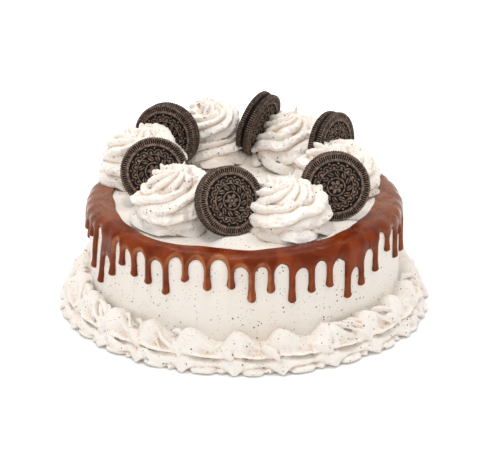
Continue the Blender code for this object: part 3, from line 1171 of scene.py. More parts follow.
        # Painted sheen on the far shoulders, less of it on the drips
        painted_sheen = smoothstep(np.abs(front_degrees(bearing)), *self.painted_sheen_bearings)
        painted_sheen = painted_sheen * (1.0 - 0.75 * down) * self.painted_sheen_strength
        faces = grid_faces(*path.shape)
        return Surface(
            np.concatenate([outer, hidden]).reshape(-1, 3),
            np.concatenate([faces, faces[:, ::-1] + path.size]),
            {"thin": np.tile(thin.ravel(), 2), "painted_sheen": np.tile(painted_sheen.ravel(), 2)},
        )

    def surface(self) -> Surface:
        """All cells side by side, turned so that they face outwards.

        Returns:
            The glaze.
        """
        bearings, tips, arches = self.drips()
        middles = (bearings + np.append(bearings[1:], bearings[0] + TAU)) / 2
        tops = np.stack([np.append(middles[-1] - TAU, middles[:-1]), middles], axis=-1)
        heights = np.stack([np.roll(arches, 1), arches], axis=-1)
        measures = zip(bearings, tips, tops, heights)
        whole = Surface.joined([self.cell(self.drip(*measure)) for measure in measures])
        whole.faces = facing_out(whole.points, whole.faces)
        return whole

    def build(self, finish: GlazeFinish) -> Object:
        """Make the piece that stands for the glaze's solid."""
        mesh = self.surface().mesh("poured_glaze")
        return add_piece("poured_glaze", mesh, finish.material(), ("chocolate_glaze",))


@dataclass(frozen=True)
class Fold:
    """One fold of piped cream: a tapered bolster that runs round an axis.

    A station gives its place along the fold in lengths of a shell, then how far its middle is
    from the wall and above the ground, its half width and half thickness, all in millimetres,
    and the angle in degrees by which its width drops outwards.
    """

    stations: tuple[tuple[float, float, float, float, float, float], ...]
    thinning: float = 0.55
    ribs: float = 0.05
    rib_count: float = 7.0
    end_share: float = 0.16
    rows: int = 60
    round_points: int = 44

    def section_grid(
        self, unevenness: tuple[float, ...], size: float, rng: np.random.Generator, skew: float = 0.0
    ) -> tuple[Array, Array, Array]:
        """The fold's skin as a grid of places along it, distances out and heights, in metres.

        Its section is an ellipse, a cos(q) by b sin(q), whose thickness falls towards its outer
        edge and whose size falls to nothing at both ends, as a quarter circle does.

        Args:
            unevenness: How far each column of the stations is moved at random.
            size: Scale of the whole section.
            rng: Source of the random moves.
            skew: How far along the fold a point lies for each millimetre across it.

        Returns:
            The places along, the distances and the heights.
        """
        table = np.array(self.stations)
        table = table + rng.normal(size=table.shape) * np.array(unevenness)
        along, out, height, width, thickness, drop = smooth_curve(table, self.rows).T[..., None]
        share = np.linspace(0.0, 1.0, self.rows)[:, None]
        ends = round_off(share, self.end_share) * round_off(1.0 - share, self.end_share)
        turn = (np.arange(self.round_points) / self.round_points * TAU)[None, :]
        edge = (1.0 + np.cos(turn)) / 2.0
        ribs = 1.0 + self.ribs * np.cos(self.rib_count * turn + rng.uniform(0.0, TAU) + 2.0 * share)
        a = width * size * ends * np.cos(turn) * ribs * MM
        b = thickness * size * ends * np.sin(turn) * (1.0 - self.thinning * edge**2) * ribs * MM
        drop = np.radians(drop)
        outwards = out * size * MM + a * np.cos(drop) + b * np.sin(drop)
        upwards = height * size * MM - a * np.sin(drop) + b * np.cos(drop)
        return along + skew * a / MM, outwards, upwards


FOOT_PETAL = Fold((
    (-0.55, 6.6, 5.4, 1.6, 1.4, 30), (-0.25, 8.6, 5.6, 4.2, 1.9, 44), (0.10, 9.4, 4.2, 4.6, 2.0, 50),
    (0.45, 8.6, 2.6, 3.2, 1.8, 44), (0.75, 7.2, 1.4, 1.6, 1.4, 36),
), thinning=0.75, ribs=0.07)
PETAL_UNEVENNESS = (0.06, 0.9, 1.0, 0.7, 0.3, 12.0)


@dataclass
class RopePath:
    """The middle line of a swirl's rope, evenly spaced.

    Rope is its radius, middle the height and ring the distance from the axis of its middle, and
    climb and tip are shares of the way up the dome and of the upright end.
    """

    rope: Array
    middle: Array
    ring: Array
    angle: Array
    climb: Array
    tip: Array


@dataclass
class PipedSwirl:
    """One swirl: a star rope coiled upwards from the foot to a pulled peak.

    The rope lies in a full circle at the foot, then climbs over a dome to its top, where it turns
    upright and thins out to a bent tip. Its place, radius and height, how far its peak leans
    towards +X and the height of its nub are in millimetres, and the start of its coil in radians.
    """

    name: str
    x: float
    y: float
    radius: float
    height: float
    start: float
    lean: float
    turns: float = 3.1
    lobes: int = 6
    lobe_depth: float = 0.36
    lobe_lean: float = 0.4
    lobe_hang: float = 0.10
    # Turns of the lobes for each turn of the coil at the foot, over the dome and at the top, and
    # the stretches of the climb over which the second and the third take over
    twists: tuple[float, float, float] = (0.40, 1.35, 0.75)
    dome_twist: tuple[float, float] = (0.05, 0.55)
    top_twist: tuple[float, float] = (0.8, 1.0)
    # Stretch of the climb over which the rope turns upright
    turning_up: tuple[float, float] = (0.72, 1.0)
    seed: int = 1
    rope_share: float = 0.43
    foot_share: float = 0.80
    peak_share: float = 0.75
    thinning: float = 0.22
    roundness: float = 2.5
    spread: float = 1.05
    nub: float = 3.5
    # Shares of a round and of a pointed end in the nub, and of the lean over the climb and the tip
    nub_mix: tuple[float, float] = (0.58, 0.42)
    lean_mix: tuple[float, float] = (0.6, 0.4)
    # Noise of the rope's surface: share of its radius and size of the swell, of the ruffle in its
    # valleys and of what the crests have more
    swell: float = 0.055
    swell_size: float = 11.0 * MM
    ruffle: float = 0.012
    crest_ruffle: float = 0.028
    ruffle_size: float = 3.2 * MM
    # Noise of the twist, in radians
    wander: float = 0.25
    wander_size: float = 20.0 * MM
    lying: float = 0.22
    climbed: float = 0.86
    petal_count: int = 9
    petal_inset: float = 11.0
    petal_shift: float = 0.3
    petal_sizes: tuple[float, float] = (0.8, 1.15)
    petal_lengths: tuple[float, float] = (0.7, 1.0)
    # Depth of the foot in the frosting, its rise onto the glaze, and the cake's radii of that rise
    sunk: float = 0.4 * MM
    glaze_rise: float = 1.7 * MM
    rise_radii: tuple[float, float] = (86.0 * MM, 89.0 * MM)
    samples: int = 4001
    path_points: int = 560
    round_points: int = 98
    voxel: float = 0.47 * MM
    triangles: int = 120_000

    def path(self) -> RopePath:
        """The rope's middle line.

        With c from 0 to 1 over the climb, the ring radius is proportional to cos(c)^(2/m) and the
        height to sin(c)^(2/m), c in quarter turns, which is a superellipse of exponent m.

        Returns:
            The line, with points evenly spaced along it.
        """
        radius, height, nub = self.radius * MM, self.height * MM, self.nub * MM
        full = self.rope_share * radius
        peak = nub + self.peak_share * full
        s = np.linspace(0.0, 1.0, self.samples)
        climb = np.clip((s - self.lying) / (self.climbed - self.lying), 0.0, 1.0)
        tip = np.clip((s - self.climbed) / (1.0 - self.climbed), 0.0, 1.0)
        rope = full * (1.0 - self.thinning * climb) * round_off(s, 0.03)
        dome = 1.0 - nub / peak
        rounded = np.sqrt(1.0 - np.clip(tip / dome, 0.0, 1.0) ** 2)
        rope = rope * (self.nub_mix[0] * rounded + self.nub_mix[1] * (1.0 - tip))
        foot = self.foot_share * full
        crown = height - nub - foot - self.peak_share * full
        power = 2.0 / self.roundness
        ring = (self.spread * radius - full) * np.cos(climb * math.pi / 2) ** power
        middle = foot + crown * np.sin(climb * math.pi / 2) ** power
        middle = middle + peak * tip
        angle = self.start + TAU * self.turns * s
        steps = np.hypot(np.hypot(np.gradient(ring), np.gradient(middle)), ring * np.gradient(angle)) + 4e-6
        length = np.concatenate([[0.0], np.cumsum((steps[1:] + steps[:-1]) / 2)])
        even = np.interp(np.linspace(0.0, length[-1], self.path_points), length, s)
        return RopePath(*(np.interp(even, s, column) for column in (rope, middle, ring, angle, climb, tip)))

    def lobe_share(self, angle: Array) -> Array:
        """Radius of the rope's section at an angle as a share of the full one.

        The lobes are the half waves of a cosine, round outside and with sharp valleys. A cosine
        added to the angle leans them, so that their lower sides are the steep ones.

        Args:
            angle: Angles round the rope.

        Returns:
            The shares.
        """
        leaned = self.lobes * angle + self.lobe_lean * np.cos(self.lobes * angle)
        return 1.0 - self.lobe_depth * (1.0 - np.abs(np.cos(leaned / 2.0)))

    def on_cake(self, points: Array) -> Array:
        """Points round the swirl's own axis moved to its place, its foot kept off the glaze.

        Args:
            points: Points with heights above the cake's top.

        Returns:
            Points of the model.
        """
        moved = points + np.array([self.x * MM, self.y * MM, 0.0])
        from_axis = np.hypot(moved[..., 0], moved[..., 1])
        ground = -self.sunk + self.glaze_rise * smoothstep(from_axis, *self.rise_radii)
        moved[..., 2] = np.maximum(moved[..., 2], ground) + CAKE_HEIGHT
        return moved

    def surface(self) -> Surface:
        """Rings of the star's outline round the path.

        A ring lies in the plane of the outward way and of a way that turns from up to backwards
        as the rope turns upright. Crests hang down over the valleys below them, noise swells the
        lobes unevenly, and finer noise roughens their crests.

        Returns:
            The rope's skin.
        """
        line = self.path()
        upright = smoothstep(line.climb, *self.turning_up) * math.pi / 2
        outward = np.stack([np.cos(line.angle), np.sin(line.angle), np.zeros_like(line.angle)], axis=-1)
        forward = np.stack([-np.sin(line.angle), np.cos(line.angle), np.zeros_like(line.angle)], axis=-1)
        second = np.cos(upright)[:, None] * np.array([0.0, 0.0, 1.0]) - np.sin(upright)[:, None] * forward
        centre = outward * line.ring[:, None]
        centre[:, 2] = line.middle
        centre[:, 0] += self.lean * MM * (self.lean_mix[0] * line.climb + self.lean_mix[1] * line.tip)
        turn = np.arange(self.round_points) / self.round_points * TAU
        low, high, top = self.twists
        twist = low + (high - low) * smoothstep(line.climb, *self.dome_twist)
        twist = twist + (top - high) * smoothstep(line.climb, *self.top_twist)
        wound = np.cumsum(twist * np.gradient(line.angle))
        wound = wound + self.wander * sine_noise(centre, self.wander_size, self.seed + 80, 8)
        share = self.lobe_share(turn[None, :] - wound[:, None])
        reach = line.rope[:, None] * share
        drawn = turn[None, :] - self.lobe_hang * smoothstep(share, 1.0 - self.lobe_depth, 1.0)
        arms = outward[:, None, :] * (reach * np.cos(drawn))[..., None]
        arms = arms + second[:, None, :] * (reach * np.sin(drawn))[..., None]
        points = centre[:, None, :] + arms
        swell = self.swell * sine_noise(points + self.seed, self.swell_size, self.seed)
        ruffle = self.ruffle + self.crest_ruffle * smoothstep(share, 1.0 - 0.5 * self.lobe_depth, 1.0)
        ruffle = ruffle * sine_noise(points + self.seed, self.ruffle_size, self.seed + 40)
        uneven = 1.0 + (swell + ruffle)
        return Surface.of_rings(self.on_cake(centre[:, None, :] + arms * uneven[..., None]))

    def petals(self) -> list[Surface]:
        """Folds of cream at the foot, spread round the swirl's own axis with seeded sizes.

        Returns:
            The folds.
        """
        rng = np.random.default_rng(self.seed + 300)
        starts = np.linspace(0.0, TAU, self.petal_count, endpoint=False)
        starts = starts + rng.uniform(-self.petal_shift, self.petal_shift, self.petal_count)
        bodies = []
        for start in starts + self.start:
            size = rng.uniform(*self.petal_sizes)
            along, out, up = FOOT_PETAL.section_grid(PETAL_UNEVENNESS, size, rng)
            turn = start + along * rng.uniform(*self.petal_lengths)
            radius = (self.radius * self.spread - self.petal_inset) * MM + out
            points = np.stack([radius * np.cos(turn), radius * np.sin(turn), up], axis=-1)
            bodies.append(Surface.closed_tube(self.on_cake(points)))
        return bodies

    def build(self, material: Material) -> Object:
        """Make the piece that stands for the swirl's solid."""
        whole = Surface.joined([self.surface(), *self.petals()])
        mesh = cream_skin(whole, self.name, self.voxel, self.triangles)
        return add_piece(f"piped_{self.name}", mesh, material, (self.name,))


def piped_swirls() -> list[PipedSwirl]:
    """The six swirls: name, x, y, radius, height, start and lean, with shapes of their own."""
    return [
        PipedSwirl("swirl_left", -67.5, 33.8, 28.0, 39.5, 0.4, 3.0, seed=2, roundness=2.3),
        PipedSwirl("swirl_front_left", -45.5, -43.0, 26.6, 42.5, 3.6, 8.0, seed=3, roundness=2.1),
        PipedSwirl(
            "swirl_back_left", -24.6, 72.6, 26.6, 43.5, 1.2, 2.0, seed=4, lobes=8, twists=(0.08, 0.9, 0.8)
        ),
        PipedSwirl("swirl_back_right", 30.7, 67.5, 26.4, 40.0, 4.2, 4.5, seed=5, roundness=2.2, nub=7.0),
        PipedSwirl("swirl_front_right", 26.2, -52.2, 27.8, 39.0, 5.2, 2.5, seed=6, roundness=2.1, nub=5.5),
        PipedSwirl("swirl_right", 60.4, 14.3, 28.0, 35.0, 3.3, 0.0, seed=7, roundness=2.3),
    ]


# Sections of a shell of the border: share of the way from its peak to the next one's, then
# distance from the wall and height in millimetres of: the top at the wall, the crest, three places
# down the face, the lip's top, tip and underside, the slit, the skirt's top, crest, edge and
# underside, and the foot's top, crest, lower edge and floor line
SHELL_SECTIONS = (
    (0.00, ((0.5, 23.8), (4.6, 25.2), (8.8, 23.4), (11.3, 19.2), (12.2, 15.4), (13.0, 13.4), (13.9, 12.1),
            (12.4, 11.4), (9.6, 10.8), (12.6, 10.2), (15.0, 8.0), (18.5, 1.5), (17.2, 0.9), (16.0, 0.8),
            (15.0, 0.7), (14.4, 0.8), (11.4, 0.0))),
    (0.09, ((0.5, 23.4), (5.2, 25.0), (9.6, 22.6), (11.6, 18.2), (12.3, 14.4), (13.3, 12.8), (14.4, 11.8),
            (12.2, 11.0), (8.4, 10.1), (12.2, 9.7), (15.3, 8.0), (17.4, 3.5), (15.0, 2.5), (13.6, 1.9),
            (13.2, 1.3), (12.8, 1.0), (9.8, 0.0))),
    (0.20, ((0.5, 21.8), (6.4, 23.6), (9.8, 20.2), (11.0, 15.8), (11.7, 13.3), (13.5, 12.5), (14.8, 11.6),
            (11.8, 10.8), (7.2, 9.5), (11.6, 9.0), (15.0, 7.8), (16.3, 5.0), (13.2, 4.2), (15.0, 3.9),
            (17.5, 2.4), (17.1, 1.2), (11.6, 0.0))),
    (0.38, ((0.5, 18.9), (7.6, 18.9), (9.0, 15.2), (9.7, 13.0), (11.3, 11.9), (13.5, 12.2), (14.9, 11.4),
            (11.8, 10.5), (6.8, 9.1), (11.4, 8.6), (14.7, 7.5), (15.7, 5.6), (12.8, 4.7), (14.8, 4.6),
            (17.9, 2.8), (17.6, 1.2), (12.0, 0.0))),
    (0.54, ((0.5, 16.8), (8.2, 16.0), (9.2, 13.4), (10.0, 12.0), (11.3, 11.4), (13.0, 11.6), (14.2, 11.0),
            (11.8, 10.2), (7.8, 9.0), (11.2, 8.5), (14.1, 7.4), (15.0, 5.6), (12.6, 4.8), (14.2, 4.4),
            (16.8, 2.6), (16.4, 1.2), (11.2, 0.0))),
    (0.63, ((0.5, 16.4), (6.4, 16.6), (9.0, 14.8), (10.8, 13.0), (12.0, 11.9), (13.1, 11.5), (13.9, 10.8),
            (12.0, 10.1), (9.0, 9.2), (11.6, 8.6), (14.0, 7.4), (14.9, 5.4), (12.6, 4.4), (13.2, 3.9),
            (14.6, 2.2), (14.2, 1.2), (10.0, 0.0))),
    (0.73, ((0.5, 16.8), (4.0, 18.2), (8.6, 16.9), (12.0, 14.2), (12.8, 12.4), (13.1, 11.4), (13.3, 10.6),
            (12.4, 10.0), (10.6, 9.4), (12.3, 8.8), (14.0, 7.4), (14.9, 5.2), (13.4, 4.3), (14.4, 3.8),
            (16.6, 2.2), (16.3, 1.2), (11.0, 0.0))),
    (0.84, ((0.5, 20.8), (3.8, 22.4), (8.3, 20.8), (12.0, 16.6), (13.1, 13.0), (13.2, 11.7), (13.2, 10.9),
            (12.7, 10.3), (12.2, 9.9), (12.8, 9.4), (14.6, 7.4), (16.6, 3.6), (14.8, 2.6), (13.8, 2.0),
            (13.4, 1.4), (13.0, 1.0), (10.2, 0.0))),
    (0.93, ((0.5, 23.2), (4.2, 24.8), (8.6, 22.8), (11.7, 18.3), (12.7, 14.4), (13.2, 12.7), (13.6, 11.6),
            (12.7, 10.9), (11.4, 10.4), (12.8, 10.0), (15.0, 7.6), (17.8, 2.3), (16.4, 1.4), (15.0, 1.1),
            (14.4, 0.9), (14.0, 0.9), (11.0, 0.0))),
)
# Bearings of the peaks at the front, in degrees
FRONT_PEAKS = (-19.0, -2.6, 11.6, 29.0, 45.0, 60.0)
# Place of the slit among those of a section, and the stretch of a shell over which it is deepened
SLIT = 8
SLIT_MIDDLE = 0.35
SLIT_REACH = 0.28

KNOB = Fold((
    (-0.38, 8.6, 14.6, 2.6, 2.4, 40), (-0.27, 10.4, 14.2, 4.2, 3.4, 50), (-0.15, 11.6, 12.6, 4.6, 3.4, 60),
    (-0.04, 12.0, 10.6, 3.0, 2.4, 64),
), thinning=0.3, ribs=0.0)


def finger(start: float) -> Fold:
    """A thin fold from the wall over the crest and down the face, start being its place along."""
    return Fold((
        (start - 0.20, 1.8, 20.6, 1.5, 1.4, 60), (start, 4.4, 22.0, 2.3, 1.9, 60),
        (start + 0.24, 8.2, 18.4, 2.1, 1.8, 56), (start + 0.50, 11.4, 12.6, 1.4, 1.3, 50),
    ), thinning=0.7, ribs=0.0)


LIP_FOLD = Fold((
    (-0.05, 12.6, 8.2, 2.0, 1.8, 46), (0.15, 14.2, 7.6, 3.4, 2.4, 50), (0.45, 14.4, 5.8, 3.0, 2.2, 46),
    (0.75, 13.4, 4.4, 2.0, 1.6, 42),
), thinning=0.8, ribs=0.0)
LOOSE_FOLDS = (*(finger(start) for start in (0.0, 0.19, 0.37, 0.55, 0.74)), LIP_FOLD)


@dataclass
class PipedBorder:
    """The ring of shells round the foot: a folded sheet of cream, with loose folds lying on it.

    The sheet runs through the named sections, shell after shell, each a little different. One
    skin over the sheet and the loose folds leaves sharp creases where they meet.
    """

    count: int = 23
    size_range: tuple[float, float] = (0.94, 1.04)
    side_spread: float = 0.14
    voxel: float = 0.6 * MM
    triangles: int = 190_000
    # Bearings between which the shells are fanned out, and how far from the front they are smooth
    fan_bearings: tuple[float, float] = (-125.0, -38.0)
    smooth_bearings: float = 25.0
    # Likelihood of a loose fold where the shells are fanned out, smooth, and elsewhere
    fanned_likely: float = 0.9
    smooth_likely: float = 0.06
    usual_likely: float = 0.35
    unevenness: tuple[float, ...] = (0.03, 0.5, 0.5, 0.35, 0.25, 5.0)
    sheet_unevenness: float = 0.24
    # Two waves of the cream's surface: height in millimetres and size
    broad_wave: tuple[float, float] = (0.35, 10.0 * MM)
    fine_wave: tuple[float, float] = (0.10, 3.0 * MM)
    # Distance from the wall and height over which the waves grow to full height
    free_out: tuple[float, float] = (2.0 * MM, 7.0 * MM)
    free_up: tuple[float, float] = (0.0, 3.0 * MM)
    # Points of the curve through the sections for each of them
    fineness: int = 12
    fold_skew: float = 0.010
    deeper_slit: float = 1.6
    steps: int = 60
    section_points: int = 120
    sunk: float = 1.2 * MM

    def peaks(self) -> Array:
        """Bearings of all peaks, evenly spaced behind those at the front.

        Returns:
            The bearings in degrees, rising round the cake.
        """
        behind = self.count - len(FRONT_PEAKS)
        rest = np.linspace(FRONT_PEAKS[-1], FRONT_PEAKS[0] + 360.0, behind + 2)[1:-1]
        return np.append(FRONT_PEAKS, rest)

    def placed(self, shell: Array, out: Array, up: Array) -> Array:
        """Points of the model, which two sizes of noise push in and out where they are free.

        Args:
            shell: Places round the cake, counted in shells.
            out: Distances from the wall.
            up: Heights.

        Returns:
            The points.
        """
        peaks = self.peaks()
        index = np.arange(-2, self.count + 3)
        known = peaks[index % self.count] + 360.0 * (index // self.count)
        bearing = np.radians(np.interp(shell, index, known))
        spread = 1.0 + self.side_spread * np.sin(bearing) ** 2
        out = np.maximum(out * spread, -self.sunk)
        points = outward_at(bearing) * (CAKE_RADIUS + out)[..., None]
        points[..., 2] = up
        free = smoothstep(out, *self.free_out) * smoothstep(up, *self.free_up)
        (broad, broad_size), (fine, fine_size) = self.broad_wave, self.fine_wave
        waves = broad * sine_noise(points, broad_size, 60) + fine * sine_noise(points, fine_size, 61)
        push = waves * MM * free
        points = points + outward_at(bearing) * push[..., None]
        points[..., 2] = np.maximum(points[..., 2] + 0.6 * push, 0.0)
        return points

    def sections(self, sizes: list[float], rng: np.random.Generator) -> Array:
        """The named sections of all shells, each moved a little at random.

        Args:
            sizes: Scale of each shell.
            rng: Source of the random moves.

        Returns:
            A row for each section: its place in shells, then distance and height of its places in
            millimetres. Three rows from the other end lead on at both ends.
        """
        shares = np.array([share for share, _ in SHELL_SECTIONS])
        table = np.array([section for _, section in SHELL_SECTIONS])
        whole = np.concatenate([table * size for size in sizes])
        moves = rng.normal(size=whole.shape) * self.sheet_unevenness
        moves[:, -1] = 0.0
        moves[:, 0, 0] = 0.0
        whole = np.maximum(whole + moves, 0.0)
        deeper = rng.uniform(0.0, self.deeper_slit, self.count).repeat(len(shares))
        whole[:, SLIT, 0] -= deeper * (np.abs(np.tile(shares, self.count) - SLIT_MIDDLE) < SLIT_REACH)
        shells = (np.arange(self.count)[:, None] + shares[None, :]).ravel()
        rows = np.concatenate([shells[:, None], whole.reshape(len(shells), -1)], axis=1)
        lap = np.zeros(rows.shape[1])
        lap[0] = self.count
        return np.concatenate([rows[-3:] - lap, rows, rows[:3] + lap])

    def sheet(self, rows: Array) -> Surface:
        """The folded sheet, closed by the wall and the floor behind it.

        Both ways it is a Catmull-Rom curve: round the cake through the sections of all shells,
        and then down every section through its places.

        Args:
            rows: The sections.

        Returns:
            The sheet.
        """
        fine = smooth_curve(rows, len(rows) * self.fineness)
        places = np.arange(self.count * self.steps) / self.steps
        even = np.stack([np.interp(places, fine[:, 0], column) for column in fine.T[1:]], axis=-1)
        sections = even.reshape(len(places), -1, 2).transpose(1, 0, 2)
        curves = smooth_curve(sections.reshape(len(sections), -1), self.section_points)
        curves = curves.reshape(self.section_points, len(places), 2) * MM
        behind = np.full((1, len(places)), -self.sunk)
        out = np.concatenate([behind, curves[..., 0], behind, behind])
        up = np.concatenate([curves[:1, :, 1], curves[..., 1], np.zeros((1, len(places))), curves[:1, :, 1]])
        return Surface.of_rings(self.placed(np.broadcast_to(places, out.shape), out, np.maximum(up, 0.0)))

    def loose_folds(self, index: int, size: float, rng: np.random.Generator) -> list[Surface]:
        """The folds that lie on a shell, more of them where the shells are fanned out at the left.

        Args:
            index: Number of the shell.
            size: Its scale.
            rng: Source of the choice and of the moves.

        Returns:
            The folds.
        """
        bearing = float(front_degrees(np.radians(self.peaks()[index])))
        likely = self.smooth_likely if abs(bearing) < self.smooth_bearings else self.usual_likely
        if self.fan_bearings[0] < bearing < self.fan_bearings[1]:
            likely = self.fanned_likely
        bodies = []
        for fold in [KNOB] + [fold for fold in LOOSE_FOLDS if rng.uniform() < likely]:
            along, out, up = fold.section_grid(self.unevenness, size, rng, skew=self.fold_skew)
            bodies.append(Surface.closed_tube(self.placed(index + along, out, up)))
        return bodies

    def surface(self) -> Surface:
        """The sheet and all loose folds, which overlap.

        Returns:
            The border's bodies.
        """
        size_rng = random.Random(11)
        sizes = [size_rng.uniform(*self.size_range) for _ in range(self.count)]
        rng = np.random.default_rng(31)
        bodies = [self.sheet(self.sections(sizes, rng))]
        for index, size in enumerate(sizes):
            bodies += self.loose_folds(index, size, rng)
        return Surface.joined(bodies)

    def build(self, material: Material) -> Object:
        """Make the piece that stands for the border's solid."""
        mesh = cream_skin(self.surface(), "border", self.voxel, self.triangles)
        return add_piece("piped_border", mesh, material, ("base_border",))


class Side(Enum):
    """The two wafers of a cookie."""

    FRONT = "front"
    BACK = "back"


# Rows of a wafer's embossed middle: first and last radius in millimetres, and their number
FACE_ROWS = ((0.02, 5.0, 17), (5.25, 17.5, 48))
# Slots round it: radius in millimetres, and depth as a share of the relief
RIM_SLOTS = ((17.75, 0.0), (18.0, 0.55), (18.3, 1.0), (19.4, 1.0), (20.5, 1.0), (20.8, 0.55), (21.05, 0.0))
# Edge and back of a wafer: radius and depth below its top in millimetres, and share of the teeth
WAFER_EDGE = (
    (21.35, 0.06, 0.0), (21.75, 0.18, 0.1), (22.08, 0.45, 0.6), (22.25, 0.8, 1.0), (22.25, 1.5, 1.0),
    (22.2, 2.5, 1.0), (22.0, 3.05, 0.8), (21.6, 3.3, 0.2), (18.0, 3.3, 0.0), (0.02, 3.3, 0.0),
)
# Section of the filling: radius in millimetres, and height as a share of half its thickness
FILLING_SECTION = (
    (0.1, 1.0), (12.0, 1.0), (20.3, 1.0), (20.75, 0.7), (20.9, 0.0), (20.75, -0.7), (20.3, -1.0),
    (12.0, -1.0), (0.1, -1.0),
)


def cell_frame(
    r: Array, angle: Array, count: int, ring: float, slant: float = 0.0, shift: float = 0.0
) -> tuple[Array, Array]:
    """Coordinates in the nearest of some cells evenly spaced on a ring.

    Args:
        r: Radii in millimetres.
        angle: Angles.
        count: Number of cells.
        ring: Radius of the ring in millimetres.
        slant: Angle by which each cell is turned about its middle.
        shift: Part of a cell's pitch by which all are moved round the ring.

    Returns:
        The outward and the sideways coordinate in millimetres, from the cell's middle.
    """
    pitch = TAU / count
    outward = r - ring
    sideways = ((angle / pitch + shift) % 1.0 - 0.5) * pitch * r
    c, s = math.cos(slant), math.sin(slant)
    return outward * c + sideways * s, sideways * c - outward * s


@dataclass
class SandwichCookie:
    """Two embossed wafers with a filling, standing on edge.

    The place has x, y and lift in millimetres, then turn and lean in degrees, as in the model.
    """

    name: str
    place: tuple[float, float, float, float, float]
    spin: float = 0.0
    radius: float = 22.25 * MM
    wafer: float = 3.3 * MM
    filling: float = 2.2 * MM
    ridges: int = 88
    columns_per_ridge: int = 4
    filling_columns: int = 128
    relief_depth: float = 0.95 * MM
    tooth: float = 0.5 * MM
    # Half width and half length of the frosting's ridge along the foot
    ridge_width: float = 5.0 * MM
    ridge_length: float = 13.0 * MM
    sharp_angle: float = math.radians(45)

    def half_thickness(self) -> float:
        """Half the thickness of the whole cookie."""
        return self.filling / 2 + GAP + self.wafer

    def to_model(self, points: Array) -> Array:
        """Turn points of the cookie's own frame, whose +Z is out of the front, into the model's.

        Args:
            points: The points.

        Returns:
            The points in the model.
        """
        x, y, lift, turn, lean = self.place
        tilt, turn = math.radians(lean), math.radians(turn)
        rise = self.radius * math.cos(tilt) + self.half_thickness() * abs(math.sin(tilt))
        across = np.array([math.cos(turn), math.sin(turn), 0.0])
        out = np.array([math.sin(turn) * math.cos(tilt), -math.cos(turn) * math.cos(tilt), math.sin(tilt)])
        up = np.cross(out, across)
        origin = np.array([x * MM, y * MM, CAKE_HEIGHT + GAP + lift * MM + rise])
        return origin + points @ np.stack([across, up, out])

    def pressed_up(self, points: Array) -> Array:
        """Rise of the frosting that the cookie was pushed into, under its lowest edge.

        It is a ridge along the cookie's foot, exp(-d^2 - e^4), d and e being the distance in
        widths of the ridge across it and along it. It is as high as the space under the front
        wafer and rises at both sides with the wafer's round edge.

        Args:
            points: Points of the cake's top.

        Returns:
            How far each is raised.
        """
        x, y, lift, turn, lean = self.place
        turn, tilt = math.radians(turn), math.radians(lean)
        foot = self.radius * math.sin(tilt) + self.half_thickness() * (math.cos(tilt) - 0.35)
        away = np.array([math.sin(turn), -math.cos(turn)])
        offset = points[..., :2] - np.array([x, y]) * MM - away * foot
        across = offset @ away
        along = offset @ np.array([math.cos(turn), math.sin(turn)])
        sag = self.radius - np.sqrt(self.radius**2 - np.minimum(np.abs(along), 0.7 * self.radius) ** 2)
        space = lift * MM + 2.0 * self.half_thickness() * abs(math.sin(tilt)) * 0.85
        rise = space + 0.9 * MM + 0.5 * sag
        return rise * np.exp(-(across / self.ridge_width) ** 2 - (along / self.ridge_length) ** 4)

    def emboss(self, radius: Array, angle: Array) -> Array:
        """Height of the middle's pattern as a share of the relief, 0 on its ground.

        It is the highest of some figures, each a smooth step of the distance inside its outline
        in millimetres: a button, six petals round it, a ring, a wreath of slanted leaves with a
        vein each, a thin ring, scallops round beads, more beads between them, and a broad ring.

        Args:
            radius: Distances from the wafer's middle.
            angle: Angles round it.

        Returns:
            The shares.
        """
        r = radius / MM
        leaf_x, leaf_y = cell_frame(r, angle, 12, 8.5, slant=0.75)
        leaf = 1.1 * (1.0 - (np.abs(leaf_x) / 2.35) ** 1.8 - (np.abs(leaf_y) / 1.4) ** 2)
        scallop_x, scallop_y = cell_frame(r, angle, 16, 12.2)
        from_foot = np.hypot(scallop_x, 0.95 * scallop_y)
        bead_x, bead_y = cell_frame(r, angle, 16, 15.0, shift=0.5)
        figures = (
            1.0 - r,
            np.minimum(1.5 + 3.1 * np.abs(np.cos(3.0 * angle)) ** 0.7 - r, r - 1.5),
            0.5 - np.abs(r - 5.6),
            np.minimum(leaf, np.abs(leaf_y) - 0.24),
            0.42 - np.abs(r - 11.0),
            np.where(scallop_x > -0.3, 0.42 - np.abs(from_foot - 2.0), -1.0),
            0.95 - from_foot,
            0.75 - np.hypot(bead_x, bead_y),
            np.minimum(r - 16.3, 17.7 - r),
        )
        return smoothstep(np.max(figures, axis=0), -0.22, 0.22)

    def wafer_surface(self, side: Side) -> Surface:
        """One wafer on a polar grid: embossed middle, slotted rim, toothed edge and flat back.

        Args:
            side: Which wafer it is.

        Returns:
            The wafer in its place, with its relief from 0 to 1.
        """
        columns = self.ridges * self.columns_per_ridge
        angle = (np.arange(columns) + 0.5) / columns * TAU
        groove = 0.5 - 0.5 * np.clip(1.6 * np.cos(self.ridges * angle) + 0.1, -1.0, 1.0)
        face = np.concatenate([np.linspace(*rows) for rows in FACE_ROWS]) * MM
        r, a = np.meshgrid(face, angle + self.spin, indexing="ij")
        slot_radius, slot_depth = np.array(RIM_SLOTS).T[..., None]
        edge_radius, below, toothed = np.array(WAFER_EDGE).T[..., None]
        level = np.ones(columns)
        edge = edge_radius * MM - toothed * self.tooth * groove
        radii = np.concatenate([r, slot_radius * MM * level, edge])
        carved = np.concatenate([self.emboss(r, a), 1.0 - slot_depth * groove])
